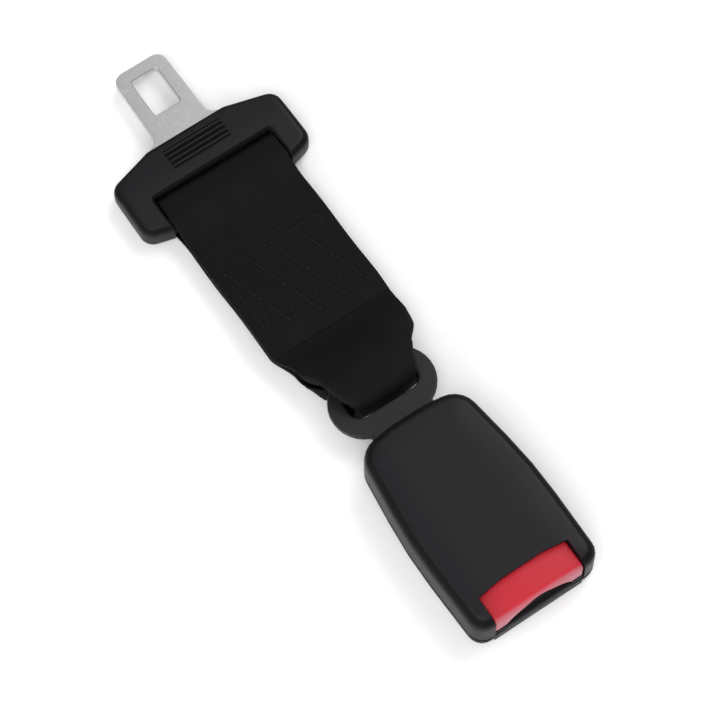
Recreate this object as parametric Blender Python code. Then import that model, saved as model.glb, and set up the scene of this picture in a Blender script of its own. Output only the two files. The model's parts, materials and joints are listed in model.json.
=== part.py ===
"""Seat belt extender: a tongue and a buckle joined by a short loop of webbing.

It lies flat, +Y towards the tip of the tongue, +X across, +Z up, in metres.
The origin is at the bottom centre of the whole object.
"""

import math

import bmesh
import bpy
from mathutils import Matrix, Vector

# Clearance between pieces that touch
PLAY = 0.0003

# Distances along the object past the buckle's housing, up to the tongue's tip
ANCHOR_REACH = 0.023
STRAP_SPAN = 0.0858
TONGUE_REACH = 0.0591

# Buckle housing, seen from above
HOUSING_FRONT_HALF = 0.0250
HOUSING_FRONT_RADIUS = 0.006
HOUSING_WIDEST_AT = 0.040
HOUSING_WIDEST_HALF = 0.0258
HOUSING_SIDE_RUN = 0.013
HOUSING_REAR_HALF = 0.0212
HOUSING_REAR_RADIUS = 0.0095
HOUSING_REAR_BOW = 0.0018
HOUSING_BOW_RADIUS = 0.03

# Buckle housing, in section
HOUSING_HEIGHT = 0.020
PARTING_HEIGHT = 0.006
TOP_EDGE_RADIUS = 0.0045
BOTTOM_EDGE_RADIUS = 0.003
CROWN = 0.0005
CROWN_INSET = 0.012
WALL = 0.0018
ROOF = 0.0015
FLOOR = 0.0018
RIM_STEP = 0.00035
RIM_HEIGHT = 0.0015
LIP_THICKNESS = 0.001
LIP_HEIGHT = 0.002

# Anchor plate and the steel frame's base, which its neck is riveted to
PLATE_THICKNESS = 0.003
PLATE_BOTTOM = 0.0075
HEAD_RADIUS = 0.0126
HEAD_CENTRE_HALF = 0.0075
ANCHOR_BAR_DEPTH = 0.007
ANCHOR_SLOT_DEPTH = 0.0102
ANCHOR_SLOT_HALF = 0.014
ANCHOR_SLOT_RADIUS = 0.0045
PLATE_EDGE = 0.0004
NECK_HALF = 0.0125
NECK_OVERLAP = 0.0158
RIVET_INSET = 0.0088
RIVET_SPACING = 0.013
RIVET_RADIUS = 0.0022
RIVET_HEAD_RADIUS = 0.0038
RIVET_HEAD_HEIGHT = 0.0014
NECK_RIB_START = 0.004
NECK_RIB_INSET = 0.0058
NECK_RIB_WIDTH = 0.0012

# Steel frame
FRAME_SHEET = 0.002
FRAME_INNER_HALF = 0.0126
FRAME_WALL_TOP = 0.0141
FRAME_BASE_START = 0.0063
FRAME_WALL_START = 0.009
FRAME_WALL_OVER_BRIDGE = 0.006
FRAME_BASE_INSET = 0.004
FRAME_TAIL_HALF = 0.0118
FRAME_SHOULDER_START = 0.002
FRAME_SHOULDER_RUN = 0.003

# Latch
PIVOT_AT = 0.044
PIVOT_HEIGHT = 0.0142
PIN_RADIUS = 0.0015
LATCH_BOTTOM = 0.0112
LATCH_SHEET = 0.0018
LATCH_SIDE_GAP = 0.0007
LATCH_LIFT = math.radians(10)
LATCH_NOSE = 0.0208
TOOTH_HALF = 0.0048
TOOTH_DEPTH = 0.0036
TOOTH_FRONT = 0.0213
TOOTH_BACK = 0.0243
EAR_TO_PIVOT = 0.008
EAR_LENGTH = 0.0032
EAR_GAP = 0.00035
CHEEK_RADIUS = 0.0033
CHEEK_THICKNESS = 0.0017

# Leaf spring of the latch and the bridge that holds it
LEAF_HALF = 0.004
LEAF_THICKNESS = 0.0005
LEAF_REACH = 0.0105
BRIDGE_TO_PIVOT = 0.006
BRIDGE_LENGTH = 0.006
BRIDGE_THICKNESS = 0.0015
BRIDGE_RIB_OFFSET = 0.005
BRIDGE_RIB_WIDTH = 0.0014
BRIDGE_RIB_OVERHANG = 0.001

# Ejector and its spring
EJECTOR_FRONT = 0.018
EJECTOR_BODY_FRONT = 0.025
EJECTOR_BACK = 0.0315
EJECTOR_TRAVEL = 0.0115
EJECTOR_PRONG_HALF = 0.0098
EJECTOR_LUG_HALF = 0.0016
EJECTOR_LUG_LENGTH = 0.0035
EJECTOR_COIL_RADIUS = 0.0012
EJECTOR_WIRE_RADIUS = 0.0003
EJECTOR_COIL_TURNS = 9
SEAT_TAB_BEFORE_NECK = 0.004
SEAT_TAB_HALF = 0.004
SEAT_TAB_HEIGHT = 0.0115

# Release button
BUTTON_LENGTH = 0.015
BUTTON_SETBACK = 0.0004
BUTTON_FOOT = 0.009
BUTTON_EDGE_RADIUS = 0.0028
BUTTON_SIDE_RADIUS = 0.0008
BUTTON_FRONT_WALL = 0.0031
BUTTON_TOP_WALL = 0.0018
BUTTON_TRAVEL = 0.005
ARCH_HALF = 0.0134
ARCH_RISE = 0.0072
ARM_GAP = 0.0005
ARM_WIDTH = 0.0027
ARM_TOP = 0.0132
ARM_PAST_EAR = 0.0026
ARM_PAD = 0.002
BUTTON_COIL_RADIUS = 0.00165
BUTTON_WIRE_RADIUS = 0.00035
BUTTON_COIL_TURNS = 8
BUTTON_COIL_LENGTH = 0.0178
OPENING_DEPTH = 0.0105
OPENING_BOW = 0.0013
OPENING_BOW_RADIUS = 0.02
MOUTH_MARGIN = 0.001

# Tongue
TONGUE_THICKNESS = 0.003
BLADE_TIP_HALF = 0.0103
BLADE_ROOT_HALF = 0.0109
BLADE_TIP_RADIUS = 0.004
BLADE_LENGTH = 0.0301
SHOULDER_HALF = 0.0175
SHOULDER_DROP = 0.0026
SHOULDER_RADIUS = 0.0035
WINDOW_HALF = 0.00545
WINDOW_LENGTH = 0.0162
WINDOW_FROM_TIP = 0.0048
WINDOW_RADIUS = 0.0012

# Grip moulded on the tongue
GRIP_HEIGHT = 0.0104
GRIP_FRONT_HALF = 0.016
GRIP_FRONT_AT = 0.0275
GRIP_HALF = 0.0349
GRIP_SHOULDER_AT = 0.0221
GRIP_REAR_AT = -0.0013
GRIP_REAR_INNER_AT = -0.0041
GRIP_CORNER_RADIUS = 0.0052
GRIP_EDGE_RADIUS = 0.0032
GRIP_NOSE_THINNING = 0.30
GRIP_NOSE_START = 0.012
GRIP_RIB_COUNT = 4
GRIP_RIB_PITCH = 0.0021
GRIP_RIB_LENGTH = 0.0235
GRIP_RIB_WIDTH = 0.0009
GRIP_RIB_HEIGHT = 0.0005
GRIP_RIB_FIRST_AT = 0.0164
BELT_SLOT_HALF = 0.0246
BELT_SLOT_FRONT = 0.0101
SLOT_FLARE = 0.0008
CORE_DEPTH = 0.0044
CORE_HALF = 0.0295
TONGUE_BAR_RADIUS = 0.0037

# Webbing
BELT_WIDTH = 0.048
BELT_THICKNESS = 0.0013
GATHERED_HALF = 0.0136
GATHER_START = 0.014
ROLL_START = 0.018
ROLL_FULL = 0.004
NOSE_NARROWING = 0.0019
NOSE_START = 0.008
NOSE_RUN = 0.004
ROLL_RADIUS = 0.0015
ROLL_DROP = 0.0008
SEAM_START = 0.0215
SEAM_END = 0.0605
LOOP_RUN = 0.012
GATHER_RUN = 0.022
TONGUE_NOSE = 0.0095
TONGUE_NOSE_RADIUS = 0.0026
ANCHOR_NOSE = 0.0129
ANCHOR_NOSE_RADIUS = 0.0052

BRIDGE_START = PIVOT_AT + BRIDGE_TO_PIVOT
FRAME_WALL_END = BRIDGE_START + BRIDGE_LENGTH + FRAME_WALL_OVER_BRIDGE
NECK_END = FRAME_WALL_END
SEAT_TAB_AT = NECK_END - SEAT_TAB_BEFORE_NECK
HOUSING_LENGTH = NECK_END + NECK_OVERLAP
FRAME_BASE_END = HOUSING_LENGTH - FRAME_BASE_INSET
EAR_BACK = PIVOT_AT - EAR_TO_PIVOT
EAR_FRONT = EAR_BACK - EAR_LENGTH
ARM_END = EAR_BACK + ARM_PAST_EAR
LEAF_TIP_AT = PIVOT_AT - LEAF_REACH
LATCH_HALF = FRAME_INNER_HALF - LATCH_SIDE_GAP
MOUTH_HALF = FRAME_INNER_HALF + MOUTH_MARGIN
ARM_INNER = FRAME_INNER_HALF + FRAME_SHEET + ARM_GAP
BUTTON_HALF = ARM_INNER + ARM_WIDTH
OVERALL_LENGTH = HOUSING_LENGTH + ANCHOR_REACH + STRAP_SPAN + TONGUE_REACH
BUCKLE_END = -OVERALL_LENGTH / 2
ANCHOR_BAR_AT = HOUSING_LENGTH + ANCHOR_REACH
PLATE_MIDDLE = PLATE_BOTTOM + PLATE_THICKNESS / 2
FRAME_BASE_TOP = PLATE_BOTTOM - PLAY
FRAME_BASE_BOTTOM = FRAME_BASE_TOP - FRAME_SHEET
BUTTON_TOP = HOUSING_HEIGHT - CROWN - ROOF - PLAY
TONGUE_AXIS_HEIGHT = TONGUE_BAR_RADIUS + PLAY + BELT_THICKNESS
PLY_PITCH = BELT_THICKNESS + PLAY
OVERSHOOT = 0.002
LEAST_RADIUS = 0.00005
CHORD_ANGLE = math.radians(18)

BUCKLE_ORIGIN = Vector((0, BUCKLE_END, 0))
STRAP_ORIGIN = Vector((0, BUCKLE_END + ANCHOR_BAR_AT, PLATE_MIDDLE))
TONGUE_ORIGIN = Vector((0, BUCKLE_END + ANCHOR_BAR_AT + STRAP_SPAN, TONGUE_AXIS_HEIGHT))
STRAP_SLOPE = math.atan2(TONGUE_AXIS_HEIGHT - PLATE_MIDDLE, STRAP_SPAN)
STRAP_LENGTH = math.hypot(STRAP_SPAN, TONGUE_AXIS_HEIGHT - PLATE_MIDDLE)


def clear_scene():
    """Remove every object of the scene."""
    for item in list(bpy.data.objects):
        bpy.data.objects.remove(item, do_unlink=True)


def finish(name, colour, roughness, metallic=0.0):
    """A material with one plain Principled surface."""
    material = bpy.data.materials.new(name)
    material.use_nodes = True
    surface = material.node_tree.nodes["Principled BSDF"]
    surface.inputs["Base Color"].default_value = (*colour, 1.0)
    surface.inputs["Roughness"].default_value = roughness
    surface.inputs["Metallic"].default_value = metallic
    material.diffuse_color = (*colour, 1.0)
    return material


def upright(a, b, height):
    """A point of an outline seen from above."""
    return Vector((a, b, height))


def sideways(a, b, height):
    """A point of an outline seen from the side, a along the object and b up."""
    return Vector((height, a, b))


def mirrored(right):
    """Corners of the right half, front to back, and of the left half."""
    return right + [(-x, y, radius) for x, y, radius in reversed(right)]


def box_corners(low_a, high_a, low_b, high_b, radius=0):
    """Corners of a rectangle."""
    points = ((low_a, low_b), (high_a, low_b), (high_a, high_b), (low_a, high_b))
    return [(a, b, radius) for a, b in points]


def edge_directions(corners):
    """The unit vector from each corner to the next."""
    points = [Vector((a, b)) for a, b, _ in corners]
    return [(points[(i + 1) % len(points)] - p).normalized() for i, p in enumerate(points)]


def turning(before, after):
    """The signed angle from one direction to the next."""
    return math.atan2(before.x * after.y - before.y * after.x, before.dot(after))


def offset(corners, inset):
    """The corners moved inwards, with hollow corners growing rounder."""
    ways = edge_directions(corners)
    moved = []
    for i, (a, b, radius) in enumerate(corners):
        before, after = ways[i - 1], ways[i]
        normals = Vector((-before.y, before.x)), Vector((-after.y, after.x))
        share = inset / (1 + normals[0].dot(normals[1]))
        point = Vector((a, b)) + (normals[0] + normals[1]) * share
        grown = radius - math.copysign(inset, turning(before, after) * inset)
        moved.append((point.x, point.y, max(grown, LEAST_RADIUS) if radius else 0))
    return moved


def rounded(corners, chords):
    """The outline of the corners, each turned by an arc unless it is sharp."""
    ways = edge_directions(corners)
    outline = []
    for i, (a, b, radius) in enumerate(corners):
        before = ways[i - 1]
        angle = turning(before, ways[i])
        start = Vector((a, b)) - before * radius * math.tan(abs(angle) / 2)
        arm = Vector((before.y, -before.x)) * math.copysign(radius, angle)
        for k in range(chords[i] + 1):
            turned = Matrix.Rotation(angle * k / max(chords[i], 1), 2) @ arm
            outline.append(start - arm + turned)
    return outline


def arc_chords(corners):
    """How many chords turn each corner, none where it is sharp."""
    ways = edge_directions(corners)
    angles = [abs(turning(ways[i - 1], ways[i])) for i in range(len(corners))]
    needed = [max(2, math.ceil(angle / CHORD_ANGLE - 0.01)) for angle in angles]
    return [count if corner[2] else 0 for count, corner in zip(needed, corners)]


def ring(corners, inset, height, place=upright):
    """One closed row of points."""
    outline = rounded(offset(corners, inset), arc_chords(corners))
    return [place(p.x, p.y, height) for p in outline]


def solid(rings, bend=None):
    """A closed mesh through rows of points, its first and last rows capped."""
    shape = bmesh.new()
    rows = [[shape.verts.new(bend(p) if bend else p) for p in row] for row in rings]
    count = len(rows[0])
    for lower, upper in zip(rows, rows[1:]):
        for i in range(count):
            j = (i + 1) % count
            shape.faces.new((lower[i], lower[j], upper[j], upper[i]))
    shape.faces.new(list(reversed(rows[0])))
    shape.faces.new(rows[-1])
    bmesh.ops.recalc_face_normals(shape, faces=shape.faces)
    mesh = bpy.data.meshes.new("solid")
    shape.to_mesh(mesh)
    shape.free()
    return mesh


def pillow(corners, low, high, low_radius=0.0, high_radius=0.0, place=upright, steps=4):
    """Rows of a slab whose lower and upper edges are rounded."""
    rows = []
    if low_radius:
        for k in range(steps):
            angle = math.pi / 2 * k / steps
            inset = low_radius * (1 - math.sin(angle))
            rows.append(ring(corners, inset, low + low_radius * (1 - math.cos(angle)), place))
    rows.append(ring(corners, 0, low + low_radius, place))
    rows.append(ring(corners, 0, high - high_radius, place))
    if high_radius:
        for k in range(1, steps + 1):
            angle = math.pi / 2 * k / steps
            inset = high_radius * (1 - math.cos(angle))
            rows.append(ring(corners, inset, high - high_radius * (1 - math.sin(angle)), place))
    return rows


def add(name, mesh, material, base=BUCKLE_ORIGIN, origin=(0, 0, 0)):
    """Put a mesh in the scene, its origin at a point of its own sub-assembly."""
    mesh.transform(Matrix.Translation(-Vector(origin)))
    mesh.name = name
    mesh.shade_smooth()
    mesh.set_sharp_from_angle(angle=math.radians(35))
    if material:
        mesh.materials.append(material)
    item = bpy.data.objects.new(name, mesh)
    item.location = base + Vector(origin)
    bpy.context.scene.collection.objects.link(item)
    return item


def helper(name, mesh, base=BUCKLE_ORIGIN):
    """A shape that only cuts or joins others."""
    item = add(name, mesh, None, base)
    item.hide_render = True
    item.display_type = "WIRE"
    return item


def combine(item, other, operation):
    """Cut or join one shape with another."""
    step = item.modifiers.new(f"{operation.lower()} {other.name}", "BOOLEAN")
    step.operation = operation
    step.solver = "EXACT"
    step.object = other


def cut(item, name, mesh, base=BUCKLE_ORIGIN):
    """Take a shape away from an object."""
    combine(item, helper(name, mesh, base), "DIFFERENCE")


def join(item, name, mesh, base=BUCKLE_ORIGIN):
    """Make a shape part of an object."""
    combine(item, helper(name, mesh, base), "UNION")


def block(xs, ys, zs, radius=0):
    """A box from its limits along each axis."""
    return solid(pillow(box_corners(*xs, *ys, radius), *zs))


def round_bar(length_from, length_to, radius, y, z, sides=24):
    """A cylinder across the object."""
    circle = [2 * math.pi * k / sides for k in range(sides)]
    ends = (length_from, length_to)
    return solid([[Vector((x, y + radius * math.cos(a), z + radius * math.sin(a))) for a in circle] for x in ends])


def post(x, y, low, high, radius, sides=20):
    """An upright cylinder."""
    circle = [2 * math.pi * k / sides for k in range(sides)]
    ends = (low, high)
    return solid([[Vector((x + radius * math.cos(a), y + radius * math.sin(a), z)) for a in circle] for z in ends])


def ease(value):
    """A smooth step from 0 to 1."""
    value = min(max(value, 0.0), 1.0)
    return value * value * (3 - 2 * value)


def turn_radius(before, corner, after, run):
    """The radius of an arc that starts this far before its corner."""
    points = [Vector(p) for p in (before, corner, after)]
    ways = [(q - p).normalized() for p, q in zip(points, points[1:])]
    return run / math.tan(abs(turning(*ways)) / 2)


def housing_corners():
    """The outline that both covers share."""
    front = (HOUSING_FRONT_HALF, 0)
    widest = (HOUSING_WIDEST_HALF, HOUSING_WIDEST_AT)
    rear = (HOUSING_REAR_HALF, HOUSING_LENGTH - HOUSING_REAR_BOW)
    return mirrored([
        (*front, HOUSING_FRONT_RADIUS),
        (*widest, turn_radius(front, widest, rear, HOUSING_SIDE_RUN)),
        (*rear, HOUSING_REAR_RADIUS),
        (HOUSING_REAR_HALF / 3, HOUSING_LENGTH, HOUSING_BOW_RADIUS),
    ])


def upper_shell_rows(outline):
    """Rows from the middle of the roof, down the outside and up the inside."""
    rim = PARTING_HEIGHT + PLAY
    shoulder = HOUSING_HEIGHT - CROWN - TOP_EDGE_RADIUS
    rows = []
    middle = CROWN_INSET
    for k in range(4):
        spread = k / 4
        inset = middle + (TOP_EDGE_RADIUS - middle) * spread
        rows.append(ring(outline, inset, HOUSING_HEIGHT - CROWN * spread ** 2))
    for k in range(7):
        angle = math.pi / 2 * (1 - k / 6)
        inset = TOP_EDGE_RADIUS * (1 - math.cos(angle))
        rows.append(ring(outline, inset, shoulder + TOP_EDGE_RADIUS * math.sin(angle)))
    rows.append(ring(outline, 0, rim))
    rows.append(ring(outline, WALL, rim))
    inner_radius = TOP_EDGE_RADIUS - WALL
    inner_shoulder = HOUSING_HEIGHT - CROWN - ROOF - inner_radius
    for k in range(5):
        angle = math.pi / 2 * k / 4
        inset = WALL + inner_radius * (1 - math.cos(angle))
        rows.append(ring(outline, inset, inner_shoulder + inner_radius * math.sin(angle)))
    rows.append(ring(outline, middle, HOUSING_HEIGHT - ROOF))
    return rows


def lower_shell_rows(outline):
    """Rows from the middle of the underside, up the outside and down the inside."""
    radius = BOTTOM_EDGE_RADIUS
    lip_outside = WALL + PLAY
    lip_inside = lip_outside + LIP_THICKNESS
    lip_top = PARTING_HEIGHT + LIP_HEIGHT
    step_height = PARTING_HEIGHT - RIM_HEIGHT
    rows = []
    for k in range(5):
        angle = math.pi / 2 * k / 4
        inset = RIM_STEP + radius * (1 - math.sin(angle))
        rows.append(ring(outline, inset, radius * (1 - math.cos(angle))))
    rows.append(ring(outline, RIM_STEP, step_height))
    rows.append(ring(outline, 0, step_height + RIM_STEP))
    rows.append(ring(outline, 0, PARTING_HEIGHT))
    rows.append(ring(outline, lip_outside, PARTING_HEIGHT))
    rows.append(ring(outline, lip_outside, lip_top))
    rows.append(ring(outline, lip_inside, lip_top))
    rows.append(ring(outline, lip_inside, step_height))
    rows.append(ring(outline, WALL + RIM_STEP, step_height - LIP_THICKNESS))
    rows.append(ring(outline, WALL + RIM_STEP, FLOOR))
    return rows


def opening_cutter():
    """The button's opening, its rear edge bowed away from the button."""
    half = BUTTON_HALF + PLAY
    outline = [
        (half, -OVERSHOOT, 0),
        (half, OPENING_DEPTH, 0.0008),
        (half * 0.45, OPENING_DEPTH + OPENING_BOW, OPENING_BOW_RADIUS),
    ]
    low = PARTING_HEIGHT - OVERSHOOT
    return solid(pillow(mirrored(outline), low, HOUSING_HEIGHT + OVERSHOOT))


def upper_cover(material):
    """Roof and walls of the buckle, with the button's opening and guide ribs."""
    item = add("upper_cover", solid(upper_shell_rows(housing_corners())), material)
    roof = HOUSING_HEIGHT - CROWN - ROOF / 2
    lip_top = PARTING_HEIGHT + LIP_HEIGHT + PLAY
    cut(item, "button_opening", opening_cutter())
    cut(item, "neck_opening", block(
        (-NECK_HALF - PLAY, NECK_HALF + PLAY),
        (HOUSING_LENGTH - 2 * WALL, HOUSING_LENGTH + OVERSHOOT),
        (PARTING_HEIGHT - OVERSHOOT, PLATE_BOTTOM + PLATE_THICKNESS + PLAY),
    ))
    guide = BUTTON_HALF + PLAY
    guide_side = [
        (WALL / 2, lip_top, 0),
        (ARM_END - PLAY, lip_top, 0),
        (ARM_END - PLAY, roof, 0),
        (WALL / 2, roof, TOP_EDGE_RADIUS - WALL / 2),
    ]
    bridge_top = FRAME_WALL_TOP + PLAY + BRIDGE_THICKNESS
    for side, name in ((-1, "left"), (1, "right")):
        xs = sorted((side * guide, side * (guide + WALL * 0.8)))
        join(item, f"guide_{name}", solid(pillow(guide_side, *xs, place=sideways)))
        rib = LEAF_HALF + BRIDGE_RIB_OFFSET
        xs = sorted((side * rib, side * (rib + BRIDGE_RIB_WIDTH)))
        ys = (BRIDGE_START - BRIDGE_RIB_OVERHANG, BRIDGE_START + BRIDGE_LENGTH + BRIDGE_RIB_OVERHANG)
        join(item, f"bridge_rib_{name}", block(xs, ys, (bridge_top + PLAY, roof)))
        rib = RIVET_SPACING / 2 + RIVET_HEAD_RADIUS + 0.0005
        xs = sorted((side * rib, side * (rib + NECK_RIB_WIDTH)))
        ys = (NECK_END + NECK_RIB_START, HOUSING_LENGTH - NECK_RIB_INSET)
        join(item, f"neck_rib_{name}", block(xs, ys, (PLATE_BOTTOM + PLATE_THICKNESS + PLAY, roof)))
    return item


def mouth_cutter():
    """The tongue's way in: a round lip, then a level floor."""
    floor = FRAME_BASE_TOP
    outline = [
        (-OVERSHOOT, floor - 0.0036, 0),
        (0.0001, floor - 0.0036, 0),
        (0.0009, floor - 0.0011, 0.002),
        (0.0032, floor, 0.004),
        (FRAME_BASE_START + OVERSHOOT, floor, 0),
        (FRAME_BASE_START + OVERSHOOT, BUTTON_FOOT + OVERSHOOT, 0),
        (-OVERSHOOT, BUTTON_FOOT + OVERSHOOT, 0),
    ]
    return solid(pillow(outline, -MOUTH_HALF, MOUTH_HALF, place=sideways))


def lower_cover(material):
    """Floor and rim of the buckle, with its lip, rails and spring posts."""
    item = add("lower_cover", solid(lower_shell_rows(housing_corners())), material)
    sunk = FLOOR / 2
    shoulder_top = BUTTON_FOOT - PLAY
    lip = [
        (PLAY, sunk, 0),
        (FRAME_BASE_START - PLAY, sunk, 0),
        (FRAME_BASE_START - PLAY, shoulder_top, 0.0004),
        (PLAY, shoulder_top, 0.0022),
    ]
    join(item, "front_lip", solid(pillow(lip, -BUTTON_HALF, BUTTON_HALF, place=sideways)))
    cut(item, "mouth", mouth_cutter())
    post_front = ARM_END + PLAY + BUTTON_COIL_LENGTH + PLAY
    coil = BUTTON_COIL_RADIUS + BUTTON_WIRE_RADIUS
    middle = arm_middle()
    for side, name in ((-1, "left"), (1, "right")):
        xs = sorted((side * (FRAME_INNER_HALF - 0.001), side * (FRAME_INNER_HALF + 0.0004)))
        ys = (FRAME_WALL_START - 0.001, FRAME_WALL_END + 0.004)
        join(item, f"frame_rail_{name}", block(xs, ys, (sunk, FRAME_BASE_BOTTOM - PLAY)))
        xs = sorted((side * ARM_INNER, side * BUTTON_HALF))
        ys = (FRAME_BASE_START - 2 * PLAY, ARM_END + BUTTON_TRAVEL)
        join(item, f"arm_rail_{name}", block(xs, ys, (sunk, shoulder_top)))
        xs = sorted((side * (middle - coil), side * (middle + coil)))
        ys = (post_front, post_front + 0.0025)
        join(item, f"spring_post_{name}", block(xs, ys, (sunk, ARM_TOP)))
    cut(item, "neck_sill", block(
        (-NECK_HALF - PLAY, NECK_HALF + PLAY),
        (HOUSING_LENGTH - 3 * WALL, HOUSING_LENGTH + OVERSHOOT),
        (FRAME_BASE_TOP, PARTING_HEIGHT + LIP_HEIGHT + OVERSHOOT),
    ))
    return item


def arm_middle():
    """Distance of the button's springs from the middle of the buckle."""
    return ARM_INNER + BUTTON_COIL_RADIUS + BUTTON_WIRE_RADIUS


def arch_outline():
    """Front view of the arch under the button, a stretch of one circle."""
    radius = (ARCH_HALF ** 2 + ARCH_RISE ** 2) / (2 * ARCH_RISE)
    centre = BUTTON_FOOT + ARCH_RISE - radius
    reach = math.asin(ARCH_HALF / radius)
    arc = [reach * (1 - 2 * k / 24) for k in range(25)]
    points = [(radius * math.sin(a), centre + radius * math.cos(a)) for a in arc]
    foot = BUTTON_FOOT - OVERSHOOT
    return [(ARCH_HALF, foot)] + points + [(-ARCH_HALF, foot)]


def arm_outline():
    """Side view of a button arm: a ramp under the latch's ear and a spring pad."""
    low = LATCH_BOTTOM - EAR_GAP
    rise, back = ear_path(LATCH_LIFT)
    slope = rise / (BUTTON_TRAVEL + back)
    ramp_top = EAR_FRONT - (ARM_TOP - low) / slope
    return [
        (BUTTON_LENGTH - OVERSHOOT, BUTTON_FOOT, 0),
        (ARM_END, BUTTON_FOOT, 0),
        (ARM_END, ARM_TOP, 0.0003),
        (ARM_END - ARM_PAD, ARM_TOP, 0.0003),
        (ARM_END - ARM_PAD, low, 0),
        (EAR_FRONT, low, 0),
        (ramp_top, ARM_TOP, 0),
        (BUTTON_LENGTH - OVERSHOOT, ARM_TOP, 0),
    ]


def ear_path(angle):
    """How far the front lower corner of an ear rises and moves forwards."""
    along = PIVOT_AT - EAR_FRONT
    below = PIVOT_HEIGHT - LATCH_BOTTOM
    rise = along * math.sin(angle) + below * (1 - math.cos(angle))
    forwards = below * math.sin(angle) - along * (1 - math.cos(angle))
    return rise, forwards


def release_button(material):
    """Red cap, hollow behind its front, with an arm along each side of the frame."""
    outline = [
        (BUTTON_SETBACK, BUTTON_FOOT, 0.0006),
        (BUTTON_LENGTH, BUTTON_FOOT, 0.0003),
        (BUTTON_LENGTH, BUTTON_TOP, 0.0003),
        (BUTTON_SETBACK, BUTTON_TOP, BUTTON_EDGE_RADIUS),
    ]

    def crowned(point):
        share = (point.x / BUTTON_HALF) ** 2
        height = (point.z - BUTTON_FOOT) / (BUTTON_TOP - BUTTON_FOOT)
        return Vector((point.x, point.y, point.z - CROWN * share * height))

    radius = BUTTON_SIDE_RADIUS
    rows = pillow(outline, -BUTTON_HALF, BUTTON_HALF, radius, radius, sideways, 3)
    flat = BUTTON_HALF - radius
    half = len(rows) // 2
    between = [ring(outline, 0, flat * (k / 4 - 1), sideways) for k in range(1, 8)]
    item = add("release_button", solid(rows[:half] + between + rows[half:], crowned), material)
    inside = ARM_INNER - PLAY
    ys = (BUTTON_SETBACK + BUTTON_FRONT_WALL, BUTTON_LENGTH + OVERSHOOT)
    cut(item, "button_hollow", block((-inside, inside), ys, (BUTTON_FOOT - OVERSHOOT, BUTTON_TOP - BUTTON_TOP_WALL)))
    ends = (BUTTON_SETBACK - OVERSHOOT, ys[0] + OVERSHOOT)
    arch = [[Vector((x, y, z)) for x, z in arch_outline()] for y in ends]
    cut(item, "button_arch", solid(arch))
    for side, name in ((-1, "left"), (1, "right")):
        xs = sorted((side * ARM_INNER, side * BUTTON_HALF))
        join(item, f"button_arm_{name}", solid(pillow(arm_outline(), *xs, place=sideways)))
    return item


def coil_mesh(start, end, x, z, radius, wire, turns):
    """A compression spring along the object, with a closed turn at each end."""
    per_turn, sides = 10, 5
    closed = 2 * wire * 1.15
    pitch = (end - start - 2 * wire - 2 * closed) / (turns - 2)
    rows = []
    for k in range(turns * per_turn + 1):
        turn = k / per_turn
        along = closed * min(turn, 1) + pitch * min(max(turn - 1, 0), turns - 2)
        along += closed * max(turn - turns + 1, 0)
        angle = 2 * math.pi * turn
        out = Vector((math.cos(angle), 0, math.sin(angle)))
        centre = Vector((x, start + wire + along, z)) + out * radius
        circle = [2 * math.pi * i / sides for i in range(sides)]
        rows.append([centre + (out * math.cos(a) + Vector((0, math.sin(a), 0))) * wire for a in circle])
    return solid(rows)


def button_spring(side, name, material):
    """One of the two springs that push the button out."""
    start = ARM_END + PLAY
    height = BUTTON_FOOT + BUTTON_COIL_RADIUS + BUTTON_WIRE_RADIUS
    mesh = coil_mesh(start, start + BUTTON_COIL_LENGTH, side * arm_middle(), height,
                     BUTTON_COIL_RADIUS, BUTTON_WIRE_RADIUS, BUTTON_COIL_TURNS)
    return add(f"button_spring_{name}", mesh, material)


def head_outline():
    """The anchor plate seen from above, from its neck round its head."""
    centre_y = ANCHOR_BAR_AT + ANCHOR_BAR_DEPTH / 2 - HEAD_RADIUS
    meets = math.acos((NECK_HALF - HEAD_CENTRE_HALF) / HEAD_RADIUS)
    right = [(NECK_HALF, NECK_END)]
    for k in range(15):
        angle = -meets + (meets + math.pi / 2) * k / 14
        right.append((HEAD_CENTRE_HALF + HEAD_RADIUS * math.cos(angle), centre_y + HEAD_RADIUS * math.sin(angle)))
    return right + [(-x, y) for x, y in reversed(right)]


def edge_softened(outline, low, high, edge):
    """Rows of a pressed plate with its edges broken."""
    count = len(outline)
    points = [Vector(p) for p in outline]
    inner = []
    for i, p in enumerate(points):
        before = (p - points[i - 1]).normalized()
        after = (points[(i + 1) % count] - p).normalized()
        normals = Vector((-before.y, before.x)), Vector((-after.y, after.x))
        inner.append(p + (normals[0] + normals[1]) * edge / (1 + normals[0].dot(normals[1])))
    levels = ((inner, low), (points, low + edge), (points, high - edge), (inner, high))
    return [[Vector((p.x, p.y, z)) for p in row] for row, z in levels]


def anchor_plate(material):
    """Steel plate that the webbing loops through, its neck inside the buckle."""
    top = PLATE_BOTTOM + PLATE_THICKNESS
    item = add("anchor_plate", solid(edge_softened(head_outline(), PLATE_BOTTOM, top, PLATE_EDGE)), material)
    bar_back = ANCHOR_BAR_AT - ANCHOR_BAR_DEPTH / 2
    slot = mirrored([
        (ANCHOR_SLOT_HALF, bar_back - ANCHOR_SLOT_DEPTH, ANCHOR_SLOT_RADIUS),
        (ANCHOR_SLOT_HALF, bar_back, ANCHOR_SLOT_RADIUS * 0.7),
    ])
    rows = [
        ring(slot, -2 * PLATE_EDGE, PLATE_BOTTOM - PLATE_EDGE),
        ring(slot, 0, PLATE_BOTTOM + PLATE_EDGE),
        ring(slot, 0, top - PLATE_EDGE),
        ring(slot, -2 * PLATE_EDGE, top + PLATE_EDGE),
    ]
    cut(item, "anchor_slot", solid(rows))
    for side, name in ((-1, "left"), (1, "right")):
        hole = post(side * RIVET_SPACING / 2, rivet_at(), PLATE_BOTTOM - OVERSHOOT, top + OVERSHOOT, RIVET_RADIUS + PLAY)
        cut(item, f"anchor_hole_{name}", hole)
    return item


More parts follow.
